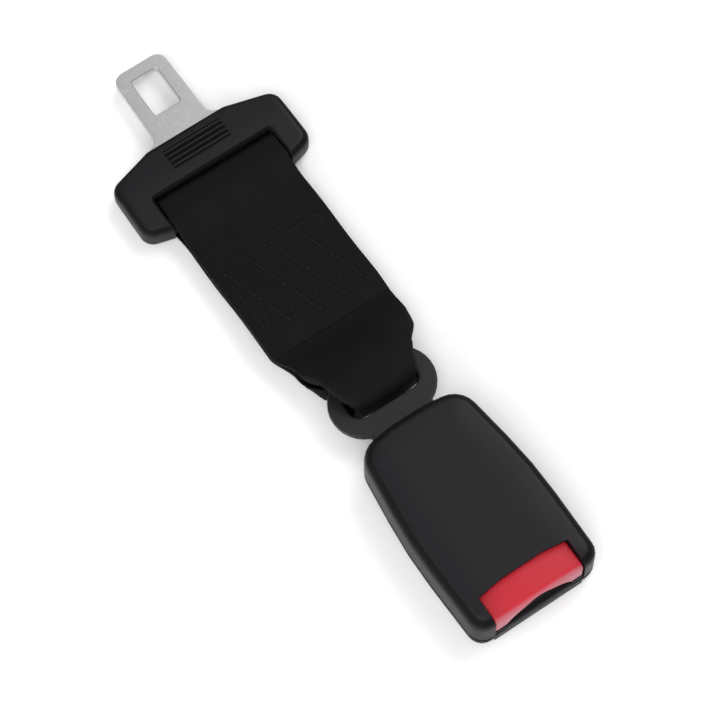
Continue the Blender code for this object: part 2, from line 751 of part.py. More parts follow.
def rivet_at():
    """Distance of the rivets from the button's end."""
    return HOUSING_LENGTH - RIVET_INSET


def rivet(side, name, material):
    """A rivet through the frame's base and the anchor plate's neck."""
    x, y = side * RIVET_SPACING / 2, rivet_at()
    low = FRAME_BASE_BOTTOM - PLAY
    high = PLATE_BOTTOM + PLATE_THICKNESS + PLAY
    head, shank, rim = RIVET_HEAD_RADIUS, RIVET_RADIUS, RIVET_HEAD_HEIGHT
    levels = (
        (head * 0.6, low - rim), (head * 0.9, low - rim * 0.7), (head, low - rim * 0.2), (head, low),
        (shank, low), (shank, high),
        (head, high), (head, high + rim * 0.2), (head * 0.9, high + rim * 0.7), (head * 0.6, high + rim),
    )
    circle = [2 * math.pi * k / 20 for k in range(20)]
    rows = [[Vector((x + r * math.cos(a), y + r * math.sin(a), z)) for a in circle] for r, z in levels]
    return add(f"anchor_rivet_{name}", solid(rows), material)


def frame_wall_outline():
    """Side view of a frame wall, with the ear's notch and the pivot's ear."""
    top = FRAME_WALL_TOP
    ear = CHEEK_RADIUS + 0.0003
    notch = 0.0008
    return [
        (FRAME_WALL_START, FRAME_BASE_BOTTOM, 0),
        (FRAME_WALL_END, FRAME_BASE_BOTTOM, 0),
        (FRAME_WALL_END, top - 0.003, 0),
        (FRAME_WALL_END - 0.003, top, 0.001),
        (PIVOT_AT + ear + 0.001, top, 0.001),
        (PIVOT_AT + ear, PIVOT_HEIGHT + PIN_RADIUS + 0.0013, 0.0015),
        (PIVOT_AT - ear, PIVOT_HEIGHT + PIN_RADIUS + 0.0013, 0.0015),
        (PIVOT_AT - ear - 0.001, top, 0.001),
        (EAR_BACK + notch, top, 0.0003),
        (EAR_BACK + notch, LATCH_BOTTOM - 2 * PLAY, 0.0003),
        (EAR_FRONT - notch, LATCH_BOTTOM - 2 * PLAY, 0.0003),
        (EAR_FRONT - notch, top, 0.0003),
        (FRAME_WALL_START + 0.005, top, 0.001),
        (FRAME_WALL_START, BUTTON_FOOT + 0.0005, 0.001),
    ]


def buckle_frame(material):
    """Steel channel: base, two walls, the ejector's slot and its spring seat."""
    outer = FRAME_INNER_HALF + FRAME_SHEET
    shoulder = FRAME_WALL_END + FRAME_SHOULDER_START
    base = mirrored([
        (outer, FRAME_BASE_START, 0.0015),
        (outer, shoulder, 0.002),
        (FRAME_TAIL_HALF, shoulder + FRAME_SHOULDER_RUN, 0.002),
        (FRAME_TAIL_HALF, FRAME_BASE_END, 0.002),
    ])
    item = add("buckle_frame", solid(pillow(base, FRAME_BASE_BOTTOM, FRAME_BASE_TOP)), material)
    for side, name in ((-1, "left"), (1, "right")):
        xs = sorted((side * FRAME_INNER_HALF, side * outer))
        join(item, f"frame_wall_{name}", solid(pillow(frame_wall_outline(), *xs, place=sideways)))
        hole = post(side * RIVET_SPACING / 2, rivet_at(), FRAME_BASE_BOTTOM - OVERSHOOT,
                    FRAME_BASE_TOP + OVERSHOOT, RIVET_RADIUS + PLAY)
        cut(item, f"frame_hole_{name}", hole)
    tab = (FRAME_BASE_BOTTOM + FRAME_SHEET / 2, SEAT_TAB_HEIGHT)
    join(item, "seat_tab", block((-SEAT_TAB_HALF, SEAT_TAB_HALF), (SEAT_TAB_AT, SEAT_TAB_AT + 0.0016), tab))
    reach = outer + OVERSHOOT
    cut(item, "pivot_hole", round_bar(-reach, reach, PIN_RADIUS + PLAY, PIVOT_AT, PIVOT_HEIGHT))
    lug = lug_span()
    half = EJECTOR_LUG_HALF + PLAY
    slot = (lug[0] - PLAY, lug[1] + EJECTOR_TRAVEL + PLAY)
    ends = (FRAME_BASE_BOTTOM - OVERSHOOT, FRAME_BASE_TOP + OVERSHOOT)
    cut(item, "lug_slot", block((-half, half), slot, ends, 0.0005))
    return item


def latch_plate(material):
    """Plate that swings on the pin, with its tooth, two ears and two cheeks."""
    top = LATCH_BOTTOM + LATCH_SHEET
    back = PIVOT_AT + CHEEK_RADIUS
    origin = (0, PIVOT_AT, PIVOT_HEIGHT)
    outline = mirrored([
        (LATCH_HALF - 0.002, LATCH_NOSE, 0.002),
        (LATCH_HALF, LATCH_NOSE + 0.006, 0.003),
        (LATCH_HALF, EAR_FRONT, 0.0004),
        (BUTTON_HALF - PLAY, EAR_FRONT, 0.0006),
        (BUTTON_HALF - PLAY, EAR_BACK, 0.0006),
        (LATCH_HALF, EAR_BACK, 0.0004),
        (LATCH_HALF, back, 0.0005),
    ])
    mesh = solid(pillow(outline, LATCH_BOTTOM, top))
    item = add("latch_plate", mesh, material, origin=origin)
    tooth = [
        (TOOTH_FRONT + 0.0017, LATCH_BOTTOM - TOOTH_DEPTH, 0.0002),
        (TOOTH_BACK, LATCH_BOTTOM - TOOTH_DEPTH, 0.0002),
        (TOOTH_BACK, top - LATCH_SHEET / 2, 0),
        (TOOTH_FRONT, top - LATCH_SHEET / 2, 0),
        (TOOTH_FRONT, LATCH_BOTTOM - 0.0002, 0),
    ]
    join(item, "latch_tooth", solid(pillow(tooth, -TOOTH_HALF, TOOTH_HALF, place=sideways)))
    cheek = [
        (PIVOT_AT - CHEEK_RADIUS, LATCH_BOTTOM + LATCH_SHEET / 2, 0),
        (back, LATCH_BOTTOM + LATCH_SHEET / 2, 0),
        (back, PIVOT_HEIGHT + CHEEK_RADIUS, CHEEK_RADIUS * 0.98),
        (PIVOT_AT - CHEEK_RADIUS, PIVOT_HEIGHT + CHEEK_RADIUS, CHEEK_RADIUS * 0.98),
    ]
    for side, name in ((-1, "left"), (1, "right")):
        xs = sorted((side * (LATCH_HALF - CHEEK_THICKNESS), side * LATCH_HALF))
        join(item, f"latch_cheek_{name}", solid(pillow(cheek, *xs, place=sideways)))
    cut(item, "latch_bore", round_bar(-LATCH_HALF - OVERSHOOT, LATCH_HALF + OVERSHOOT,
                                      PIN_RADIUS + PLAY, PIVOT_AT, PIVOT_HEIGHT))
    return item


def latch_pin(material):
    """Pin across the frame that the latch turns on."""
    half = FRAME_INNER_HALF + FRAME_SHEET
    return add("latch_pin", round_bar(-half, half, PIN_RADIUS, PIVOT_AT, PIVOT_HEIGHT, 20), material)


def spring_bridge(material):
    """Strip across the frame's walls that the leaf spring hooks over."""
    low = FRAME_WALL_TOP + PLAY
    half = FRAME_INNER_HALF + FRAME_SHEET
    outline = box_corners(BRIDGE_START, BRIDGE_START + BRIDGE_LENGTH, low, low + BRIDGE_THICKNESS, 0.0004)
    return add("spring_bridge", solid(pillow(outline, -half, half, place=sideways)), material)


def leaf_spring(material):
    """Bent strip, hooked over the bridge, that presses on the latch."""
    half = LEAF_THICKNESS / 2
    over = max(FRAME_WALL_TOP + PLAY + BRIDGE_THICKNESS, PIVOT_HEIGHT + PIN_RADIUS) + PLAY + half
    back = BRIDGE_START + BRIDGE_LENGTH + PLAY + half
    latch_top = LATCH_BOTTOM + LATCH_SHEET + PLAY + half
    middle = [
        Vector((back, FRAME_WALL_TOP + PLAY)),
        Vector((back, over - 0.0006)),
        Vector((back - 0.0006, over)),
        Vector((PIVOT_AT - 0.001, over)),
        Vector((PIVOT_AT - 0.003, over - 0.0004)),
        Vector((LEAF_TIP_AT + 0.0012, latch_top + 0.0001)),
        Vector((LEAF_TIP_AT + 0.0004, latch_top)),
        Vector((LEAF_TIP_AT - 0.0008, latch_top + 0.0007)),
    ]
    outline = ribbon(middle, LEAF_THICKNESS)
    rows = [[Vector((x, p.x, p.y)) for p in outline] for x in (-LEAF_HALF, LEAF_HALF)]
    return add("latch_spring", solid(rows), material)


def ribbon(middle, thickness):
    """Both sides of a bent strip, from its middle line."""
    outwards = []
    for i, point in enumerate(middle):
        before = point - middle[i - 1] if i else middle[1] - point
        after = middle[i + 1] - point if i + 1 < len(middle) else before
        normals = [Vector((-way.y, way.x)).normalized() for way in (before, after)]
        outwards.append((normals[0] + normals[1]) / (1 + normals[0].dot(normals[1])))
    up = [p + n * thickness / 2 for p, n in zip(middle, outwards)]
    down = [p - n * thickness / 2 for p, n in zip(middle, outwards)]
    return up + list(reversed(down))


def lug_span():
    """Where the ejector's lug starts and ends."""
    start = EJECTOR_BODY_FRONT + 0.0015
    return start, start + EJECTOR_LUG_LENGTH


def ejector(material):
    """Forked slide behind the tongue, its prongs either side of the tooth."""
    inside = TOOTH_HALF + PLAY
    outline = mirrored([
        (EJECTOR_PRONG_HALF, EJECTOR_FRONT, 0.0008),
        (EJECTOR_PRONG_HALF, EJECTOR_BODY_FRONT, 0.0006),
        (FRAME_INNER_HALF - PLAY, EJECTOR_BODY_FRONT + 0.0012, 0.0006),
        (FRAME_INNER_HALF - PLAY, EJECTOR_BACK, 0.0008),
    ])
    high = PLATE_BOTTOM + PLATE_THICKNESS
    item = add("ejector", solid(pillow(outline, PLATE_BOTTOM, high)), material,
               origin=(0, EJECTOR_FRONT, PLATE_MIDDLE))
    fork = box_corners(-inside, inside, EJECTOR_FRONT - OVERSHOOT, EJECTOR_BODY_FRONT, 0.0008)
    cut(item, "ejector_fork", solid(pillow(fork, PLATE_BOTTOM - OVERSHOOT, high + OVERSHOOT)))
    low = FRAME_BASE_BOTTOM + PLAY
    lug = block((-EJECTOR_LUG_HALF, EJECTOR_LUG_HALF), lug_span(), (low, PLATE_MIDDLE))
    join(item, "ejector_lug", lug)
    return item


def ejector_spring(material):
    """Spring between the ejector and the frame's seat tab."""
    mesh = coil_mesh(EJECTOR_BACK + PLAY, SEAT_TAB_AT - PLAY, 0, PLATE_MIDDLE,
                     EJECTOR_COIL_RADIUS, EJECTOR_WIRE_RADIUS, EJECTOR_COIL_TURNS)
    return add("ejector_spring", mesh, material)


def plate_corners():
    """The tongue plate seen from above, from its bar to its tip."""
    root = TONGUE_REACH - BLADE_LENGTH
    return mirrored([
        (CORE_HALF, -CORE_DEPTH / 2, 0.004),
        (CORE_HALF, GRIP_SHOULDER_AT - 0.0035, 0.004),
        (SHOULDER_HALF, root - SHOULDER_DROP, 0.002),
        (BLADE_ROOT_HALF, root, SHOULDER_RADIUS),
        (BLADE_TIP_HALF, TONGUE_REACH, BLADE_TIP_RADIUS),
    ])


def plate_slot(gap):
    """The slot behind the plate's window of webbing, shrunk by a gap."""
    front = BELT_SLOT_FRONT + 0.0016
    half = BELT_SLOT_HALF + 0.0011
    corners = box_corners(-half, half, CORE_DEPTH / 2, front, 0.002)
    return solid(pillow(offset(corners, gap), -GRIP_HEIGHT, GRIP_HEIGHT))


def tongue_plate(material):
    """Pressed steel blade, with its window and the slot and bar inside the grip."""
    half = TONGUE_THICKNESS / 2
    item = add("tongue_plate", solid(pillow(plate_corners(), -half, half, 0.0003, 0.0003, steps=2)),
               material, TONGUE_ORIGIN)
    window_end = TONGUE_REACH - WINDOW_FROM_TIP
    window = box_corners(-WINDOW_HALF, WINDOW_HALF, window_end - WINDOW_LENGTH, window_end, WINDOW_RADIUS)
    edge = 0.0003
    rows = [
        ring(window, -2 * edge, -half - edge),
        ring(window, 0, -half + edge),
        ring(window, 0, half - edge),
        ring(window, -2 * edge, half + edge),
    ]
    cut(item, "tongue_window", solid(rows), TONGUE_ORIGIN)
    cut(item, "tongue_slot", plate_slot(0), TONGUE_ORIGIN)
    return item


def grip_thickness(point):
    """Thin the grip towards the blade."""
    run = (point.y - GRIP_NOSE_START) / (GRIP_FRONT_AT - GRIP_NOSE_START)
    share = 1 - GRIP_NOSE_THINNING * ease(run)
    return Vector((point.x, point.y, point.z * share))


def sliced(mesh, cuts):
    """Add edges across a mesh, so that it can bend there."""
    shape = bmesh.new()
    shape.from_mesh(mesh)
    for y in cuts:
        parts = shape.verts[:] + shape.edges[:] + shape.faces[:]
        bmesh.ops.bisect_plane(shape, geom=parts, plane_co=(0, y, 0), plane_no=(0, 1, 0))
    for vertex in shape.verts:
        vertex.co = grip_thickness(vertex.co)
    bmesh.ops.triangulate(shape, faces=[f for f in shape.faces if len(f.verts) > 4])
    shape.to_mesh(mesh)
    shape.free()
    return mesh


def grip_body():
    """The grip's outer form, rounded all round and thinner at the front."""
    low = -TONGUE_AXIS_HEIGHT
    corners = mirrored([
        (BELT_SLOT_HALF, GRIP_REAR_INNER_AT, 0.002),
        (GRIP_HALF, GRIP_REAR_AT, GRIP_CORNER_RADIUS),
        (GRIP_HALF - 0.0003, GRIP_SHOULDER_AT, GRIP_CORNER_RADIUS),
        (GRIP_FRONT_HALF, GRIP_FRONT_AT, 0.006),
    ])
    radius = GRIP_EDGE_RADIUS
    rows = pillow(corners, low, low + GRIP_HEIGHT, radius, radius)
    run = GRIP_FRONT_AT - GRIP_NOSE_START
    return sliced(solid(rows), [GRIP_NOSE_START + run * k / 8 for k in range(8)])


def grip_rib(index):
    """One grip rib on the sloping front of the grip."""
    y = GRIP_RIB_FIRST_AT + GRIP_RIB_PITCH * index
    half, width = GRIP_RIB_LENGTH / 2, GRIP_RIB_WIDTH / 2
    top = GRIP_HEIGHT - TONGUE_AXIS_HEIGHT
    corners = box_corners(-half, half, y - width, y + width, width * 0.98)
    level = grip_thickness(Vector((0, y, top))).z
    return solid(pillow(corners, level - 0.001, level + GRIP_RIB_HEIGHT, 0, 0.0003, steps=2))


def tongue_cover(material):
    """Moulded grip round the tongue plate, open behind for the belt's loop."""
    item = add("tongue_cover", grip_body(), material, TONGUE_ORIGIN)
    top = GRIP_HEIGHT - TONGUE_AXIS_HEIGHT
    behind = GRIP_REAR_INNER_AT - 2 * OVERSHOOT
    slot = box_corners(-BELT_SLOT_HALF, BELT_SLOT_HALF, behind, BELT_SLOT_FRONT, 0.001)
    rows = [
        ring(slot, -2 * SLOT_FLARE, -TONGUE_AXIS_HEIGHT - SLOT_FLARE),
        ring(slot, 0, SLOT_FLARE - TONGUE_AXIS_HEIGHT),
        ring(slot, 0, top - SLOT_FLARE),
        ring(slot, -2 * SLOT_FLARE, top + SLOT_FLARE),
    ]
    cut(item, "belt_slot", solid(rows), TONGUE_ORIGIN)
    reach = BELT_SLOT_HALF + 0.0015
    join(item, "tongue_bar", round_bar(-reach, reach, TONGUE_BAR_RADIUS, 0, 0), TONGUE_ORIGIN)
    half = TONGUE_THICKNESS / 2 + PLAY
    cavity = helper("plate_cavity", solid(pillow(offset(plate_corners(), -PLAY), -half, half)), TONGUE_ORIGIN)
    combine(cavity, helper("cavity_core", plate_slot(PLAY), TONGUE_ORIGIN), "DIFFERENCE")
    combine(item, cavity, "DIFFERENCE")
    for index in range(GRIP_RIB_COUNT):
        join(item, f"grip_rib_{index + 1}", grip_rib(index), TONGUE_ORIGIN)
    return item


def belt_half(along):
    """Half the webbing's width at a distance from the anchor's bar."""
    gathered = 1 - min(max(along / GATHER_START, 0), 1)
    half = BELT_WIDTH / 2 - (BELT_WIDTH / 2 - GATHERED_HALF) * gathered ** 2
    return half - NOSE_NARROWING * ease((-NOSE_START - along) / NOSE_RUN)


def belt_fold(along):
    """How far the webbing's edges are rolled in, from 0 to 1."""
    return ease((ROLL_START - along) / (ROLL_START - ROLL_FULL))


def arc(centre, radius, start, end, count):
    """Points of an arc, angles in degrees."""
    angles = [math.radians(start + (end - start) * k / count) for k in range(count + 1)]
    return [Vector((centre[0] + radius * math.cos(a), centre[1] + radius * math.sin(a))) for a in angles]


def belt_middle_line():
    """The strip's middle line: seam, tongue loop, underside, anchor loop, seam."""
    bar = TONGUE_BAR_RADIUS + PLAY + BELT_THICKNESS / 2
    far = STRAP_LENGTH
    gather = anchor_loop_radius()
    line = [Vector((SEAM_START, PLY_PITCH)), Vector((SEAM_END * 0.7, PLY_PITCH))]
    for k in range(9):
        share = k / 8
        line.append(Vector((far - LOOP_RUN * (1 - share), PLY_PITCH + (bar - PLY_PITCH) * ease(share))))
    nose = TONGUE_NOSE - BELT_THICKNESS / 2 - TONGUE_NOSE_RADIUS
    line += arc((far + nose, bar - 0.0005 - TONGUE_NOSE_RADIUS), TONGUE_NOSE_RADIUS, 85, 0, 5)
    line += arc((far + nose, TONGUE_NOSE_RADIUS - bar + 0.0007), TONGUE_NOSE_RADIUS, 0, -85, 5)
    for k in range(9):
        share = 1 - k / 8
        line.append(Vector((far - LOOP_RUN * (1 - share), -PLY_PITCH - (bar - PLY_PITCH) * ease(share))))
    line.append(Vector((SEAM_END * 0.7, -PLY_PITCH)))
    for k in range(13):
        share = k / 12
        line.append(Vector((GATHER_RUN * (1 - share), -PLY_PITCH - (gather - PLY_PITCH) * ease(share))))
    nose = BELT_THICKNESS / 2 + ANCHOR_NOSE_RADIUS - ANCHOR_NOSE
    line += arc((nose, ANCHOR_NOSE_RADIUS - gather + 0.0004), ANCHOR_NOSE_RADIUS, 265, 180, 6)
    line += arc((nose, gather - 0.0004 - ANCHOR_NOSE_RADIUS), ANCHOR_NOSE_RADIUS, 180, 95, 6)
    for k in range(13):
        share = 1 - k / 12
        line.append(Vector((GATHER_RUN * (1 - share), gather * ease(share))))
    line.append(Vector((SEAM_END * 0.7, 0)))
    line.append(Vector((SEAM_END, 0)))
    return line


def anchor_loop_radius():
    """Height of the strip's middle line over the anchor's bar."""
    corner = math.hypot(ANCHOR_BAR_DEPTH, PLATE_THICKNESS) / 2
    return corner + PLAY + 2 * ROLL_RADIUS + ROLL_DROP - BELT_THICKNESS / 2


def belt_section(along):
    """Points across the strip: its outer side, rolled edges and inner side."""
    half = belt_half(along)
    fold = belt_fold(along)
    thick = BELT_THICKNESS / 2
    roll = thick + (ROLL_RADIUS - thick) * fold
    drop = ROLL_DROP * fold
    edge_x, edge_n = half - roll, thick - roll - drop
    right = [(0.35 * half, thick - 0.15 * drop), (0.7 * half, thick - 0.5 * drop)]
    for degrees in (90, 40, 0, -40, -90):
        angle = math.radians(degrees)
        right.append((edge_x + roll * math.cos(angle), edge_n + roll * math.sin(angle)))
    tuck = 1.8 * roll
    right += [(edge_x - tuck, edge_n - roll * (1 - 0.5 * fold)), (0.35 * half, -thick)]
    left = [(-x, n) for x, n in reversed(right)]
    return [(0, thick)] + right + [(0, -thick)] + left


def webbing(material):
    """The strip of webbing, one solid wound through both bars."""
    line = belt_middle_line()
    rows = []
    for i, point in enumerate(line):
        ahead = line[min(i + 1, len(line) - 1)]
        behind = line[max(i - 1, 0)]
        way = (ahead - behind).normalized()
        outwards = Vector((-way.y, way.x))
        section = belt_section(point.x)
        rows.append([Vector((x, point.x + outwards.x * n, point.y + outwards.y * n)) for x, n in section])
    item = add("webbing", solid(rows), material, STRAP_ORIGIN)
    item.rotation_euler.x = STRAP_SLOPE
    return item


def main():
    """Build every piece."""
    clear_scene()
    black = finish("black_plastic", (0.030, 0.028, 0.032), 0.48)
    red = finish("red_plastic", (0.60, 0.036, 0.055), 0.42)
    white = finish("white_plastic", (0.62, 0.61, 0.58), 0.45)
    zinc = finish("plated_steel", (0.48, 0.48, 0.50), 0.38, 1.0)
    coated = finish("coated_steel", (0.034, 0.033, 0.038), 0.55)
    wire = finish("spring_steel", (0.42, 0.42, 0.43), 0.3, 1.0)
    fabric = finish("webbing_black", (0.009, 0.010, 0.012), 0.85)
    tongue_plate(zinc)
    tongue_cover(black)
    webbing(fabric)
    anchor_plate(coated)
    buckle_frame(zinc)
    latch_plate(zinc)
    latch_pin(wire)
    spring_bridge(zinc)
    leaf_spring(wire)
    ejector(white)
    ejector_spring(wire)
    release_button(red)
    upper_cover(black)
    lower_cover(black)
    for side, name in ((-1, "left"), (1, "right")):
        rivet(side, name, zinc)
        button_spring(side, name, wire)


if __name__ == "__main__":
    main()
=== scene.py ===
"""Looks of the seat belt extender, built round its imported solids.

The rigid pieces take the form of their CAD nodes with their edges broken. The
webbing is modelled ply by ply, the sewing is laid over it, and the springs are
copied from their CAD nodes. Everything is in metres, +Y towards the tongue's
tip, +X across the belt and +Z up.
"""

import json
import logging
import math
from collections.abc import Iterable
from dataclasses import dataclass, replace
from enum import Enum

import bmesh
import bpy
import numpy as np
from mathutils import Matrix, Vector

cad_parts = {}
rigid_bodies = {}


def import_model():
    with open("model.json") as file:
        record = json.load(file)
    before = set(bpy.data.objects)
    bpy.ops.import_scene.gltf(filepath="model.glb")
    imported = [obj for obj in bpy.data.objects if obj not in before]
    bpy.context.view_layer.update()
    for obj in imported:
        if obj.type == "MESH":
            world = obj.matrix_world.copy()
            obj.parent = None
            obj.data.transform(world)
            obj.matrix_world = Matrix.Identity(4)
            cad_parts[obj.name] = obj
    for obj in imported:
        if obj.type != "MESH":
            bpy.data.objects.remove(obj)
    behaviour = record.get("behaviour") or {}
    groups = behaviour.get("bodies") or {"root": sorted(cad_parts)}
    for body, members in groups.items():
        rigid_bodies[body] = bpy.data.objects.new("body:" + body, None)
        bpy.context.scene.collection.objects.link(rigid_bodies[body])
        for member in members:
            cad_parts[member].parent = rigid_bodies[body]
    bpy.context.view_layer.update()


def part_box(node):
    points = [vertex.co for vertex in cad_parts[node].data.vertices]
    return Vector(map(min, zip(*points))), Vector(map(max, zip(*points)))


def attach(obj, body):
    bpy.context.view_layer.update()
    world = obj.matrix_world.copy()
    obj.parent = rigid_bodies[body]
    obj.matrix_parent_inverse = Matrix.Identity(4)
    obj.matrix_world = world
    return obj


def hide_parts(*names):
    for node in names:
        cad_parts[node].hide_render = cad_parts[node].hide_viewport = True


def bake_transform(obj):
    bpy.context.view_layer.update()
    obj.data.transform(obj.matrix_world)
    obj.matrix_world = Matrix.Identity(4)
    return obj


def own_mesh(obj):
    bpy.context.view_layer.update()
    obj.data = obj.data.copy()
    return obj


LOG = logging.getLogger("seat_belt_extender")
ALONG = Vector((0, 1, 0))
UP = Vector((0, 0, 1))
SAME_POINT = 2e-6
TINY = 1e-9

Colour = tuple[float, float, float]
Limits = tuple[float, float]
Points = list[tuple[float, float]]
Number = "float | Signal"
Values = np.ndarray | float

BLACK: Colour = (0.0, 0.0, 0.0)


class Body(Enum):
    """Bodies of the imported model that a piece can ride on."""

    BUCKLE = "buckle"
    STRAP = "strap"
    TONGUE = "tongue"
    BUTTON = "button"


class Slot(Enum):
    """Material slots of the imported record."""

    BLACK_PLASTIC = "black_plastic"
    RED_PLASTIC = "red_plastic"
    WHITE_PLASTIC = "white_plastic"
    PLATED_STEEL = "plated_steel"
    COATED_STEEL = "coated_steel"
    SPRING_STEEL = "spring_steel"
    WEBBING = "webbing_black"


class Signal:
    """A value that changes over a surface, with ordinary arithmetic."""

    def __init__(self, tree: "FinishTree", socket: bpy.types.NodeSocket) -> None:
        """Keep the socket that gives the value and the tree it is in."""
        self.tree = tree
        self.socket = socket

    def _with(self, operation: str, *others: Number, swapped: bool = False) -> "Signal":
        """Add one Math node.

        Args:
            operation: The Math node's operation.
            others: The other values, numbers or signals.
            swapped: Whether this value comes second.

        Returns:
            The node's result.
        """
        values = [self, *others]
        if swapped:
            values.reverse()
        links = dict(enumerate(values))
        return self.tree.signal("ShaderNodeMath", {"operation": operation}, links)

    def __add__(self, other: Number) -> "Signal":
        """Sum."""
        return self._with("ADD", other)

    __radd__ = __add__

    def __sub__(self, other: Number) -> "Signal":
        """Difference."""
        return self._with("SUBTRACT", other)

    def __rsub__(self, other: Number) -> "Signal":
        """Difference with this value second."""
        return self._with("SUBTRACT", other, swapped=True)

    def __mul__(self, other: Number) -> "Signal":
        """Product."""
        return self._with("MULTIPLY", other)

    __rmul__ = __mul__

    def __truediv__(self, other: Number) -> "Signal":
        """Quotient."""
        return self._with("DIVIDE", other)

    def __abs__(self) -> "Signal":
        """Distance from zero."""
        return self._with("ABSOLUTE")

    def sine(self) -> "Signal":
        """Sine of the value in radians."""
        return self._with("SINE")

    def floor(self) -> "Signal":
        """The whole number below."""
        return self._with("FLOOR")

    def wrapped(self) -> "Signal":
        """The part after the decimal point."""
        return self._with("FRACT")

    def step(self, low: float, high: float) -> "Signal":
        """Smooth step from 0 at low to 1 at high."""
        links = {"Value": self, "From Min": low, "From Max": high}
        return self.tree.signal("ShaderNodeMapRange", {"interpolation_type": "SMOOTHSTEP"}, links)

    def band(self, rise: Limits, fall: Limits) -> "Signal":
        """1 between a step up and a step down, 0 outside them."""
        return self.step(*rise) * (1 - self.step(*fall))

    def within(self, fall: Limits) -> "Signal":
        """1 near zero, falling to 0 as the distance from it grows."""
        return 1 - abs(self).step(*fall)

    def swing(self, reach: float) -> "Signal":
        """A value from 0 to 1 made to swing about zero, over this reach in all."""
        return (self - 0.5) * reach


class FinishTree:
    """The nodes of one material, and the point on the piece in metres as its place."""

    def __init__(self, name: str) -> None:
        """Start the material.

        Args:
            name: The material's name.
        """
        self.material = bpy.data.materials.new(name)
        self.material.use_nodes = True
        self.material.node_tree.nodes.clear()
        self.place = self.signal("ShaderNodeTexCoord", output="Object")

    def node(self, kind: str, settings: dict | None = None,
             links: dict | None = None) -> bpy.types.Node:
        """Add a node, set it up and join its sockets.

        Args:
            kind: The node's type.
            settings: Its own properties, set before its sockets.
            links: Values or signals by socket name, identifier or number.

        Returns:
            The node.
        """
        made = self.material.node_tree.nodes.new(kind)
        for key, value in (settings or {}).items():
            setattr(made, key, value)
        for key, value in (links or {}).items():
            socket = made.inputs[key] if isinstance(key, int) else self._socket(made.inputs, key)
            if isinstance(value, Signal):
                self.material.node_tree.links.new(value.socket, socket)
            elif isinstance(value, tuple) and len(value) == 3 and socket.type == "RGBA":
                socket.default_value = (*value, 1.0)
            else:
                socket.default_value = value
        return made

    @staticmethod
    def _socket(sockets: Iterable, key: str) -> bpy.types.NodeSocket:
        """The socket of that identifier, or else of that name."""
        by_identifier = [s for s in sockets if s.identifier == key]
        return by_identifier[0] if by_identifier else sockets[key]

    def signal(self, kind: str, settings: dict | None = None, links: dict | None = None,
               output: str | int = 0) -> Signal:
        """Add a node and take one of its outputs.

        Args:
            kind: The node's type.
            settings: Its own properties.
            links: Values or signals of its sockets.
            output: The output's name, identifier or number.

        Returns:
            The output as a signal.
        """
        made = self.node(kind, settings, links)
        if isinstance(output, int):
            return Signal(self, made.outputs[output])
        return Signal(self, self._socket(made.outputs, output))

    def parts(self, vector: Signal) -> tuple[Signal, Signal, Signal]:
        """The three parts of a vector."""
        split = self.node("ShaderNodeSeparateXYZ", links={0: vector})
        return tuple(Signal(self, socket) for socket in split.outputs)

    def facing(self) -> tuple[Signal, Signal, Signal]:
        """The three parts of the way that the surface faces."""
        return self.parts(self.signal("ShaderNodeTexCoord", output="Normal"))

    def noise(self, feature: float, detail: float = 2.0) -> Signal:
        """Soft noise from 0 to 1, its feature size in metres."""
        links = {"Vector": self.place, "Scale": 1 / feature, "Detail": detail}
        return self.signal("ShaderNodeTexNoise", None, links)

    def cells(self, feature: float) -> Signal:
        """Distance to the nearest of scattered points, for grain."""
        links = {"Vector": self.place, "Scale": 1 / feature}
        return self.signal("ShaderNodeTexVoronoi", {"feature": "F1"}, links, "Distance")

    def blend(self, share: Number, first: Colour | Signal, second: Colour | Signal) -> Signal:
        """Mix two colours."""
        links = {"Factor_Float": share, "A_Color": first, "B_Color": second}
        return self.signal("ShaderNodeMix", {"data_type": "RGBA"}, links, "Result_Color")

    def relief(self, height: Signal, depth: float) -> Signal:
        """Bump from a height whose 1 stands for depth, in metres."""
        links = {"Height": height, "Distance": depth}
        return self.signal("ShaderNodeBump", None, links, "Normal")

    def surface(self, **sockets: object) -> bpy.types.Material:
        """End the material in a Principled surface.

        Args:
            sockets: Values or signals, named as the sockets with _ for a space.

        Returns:
            The material.
        """
        links = {key.replace("_", " "): value for key, value in sockets.items()}
        shader = self.node("ShaderNodeBsdfPrincipled", None, links)
        self.node("ShaderNodeOutputMaterial", None, {"Surface": Signal(self, shader.outputs[0])})
        return self.material


def toned(colour: Colour, gain: float, lift: float = 0.0) -> Colour:
    """A colour made lighter or darker, no part of it over 1."""
    return tuple(min(1.0, part * gain + lift) for part in colour)


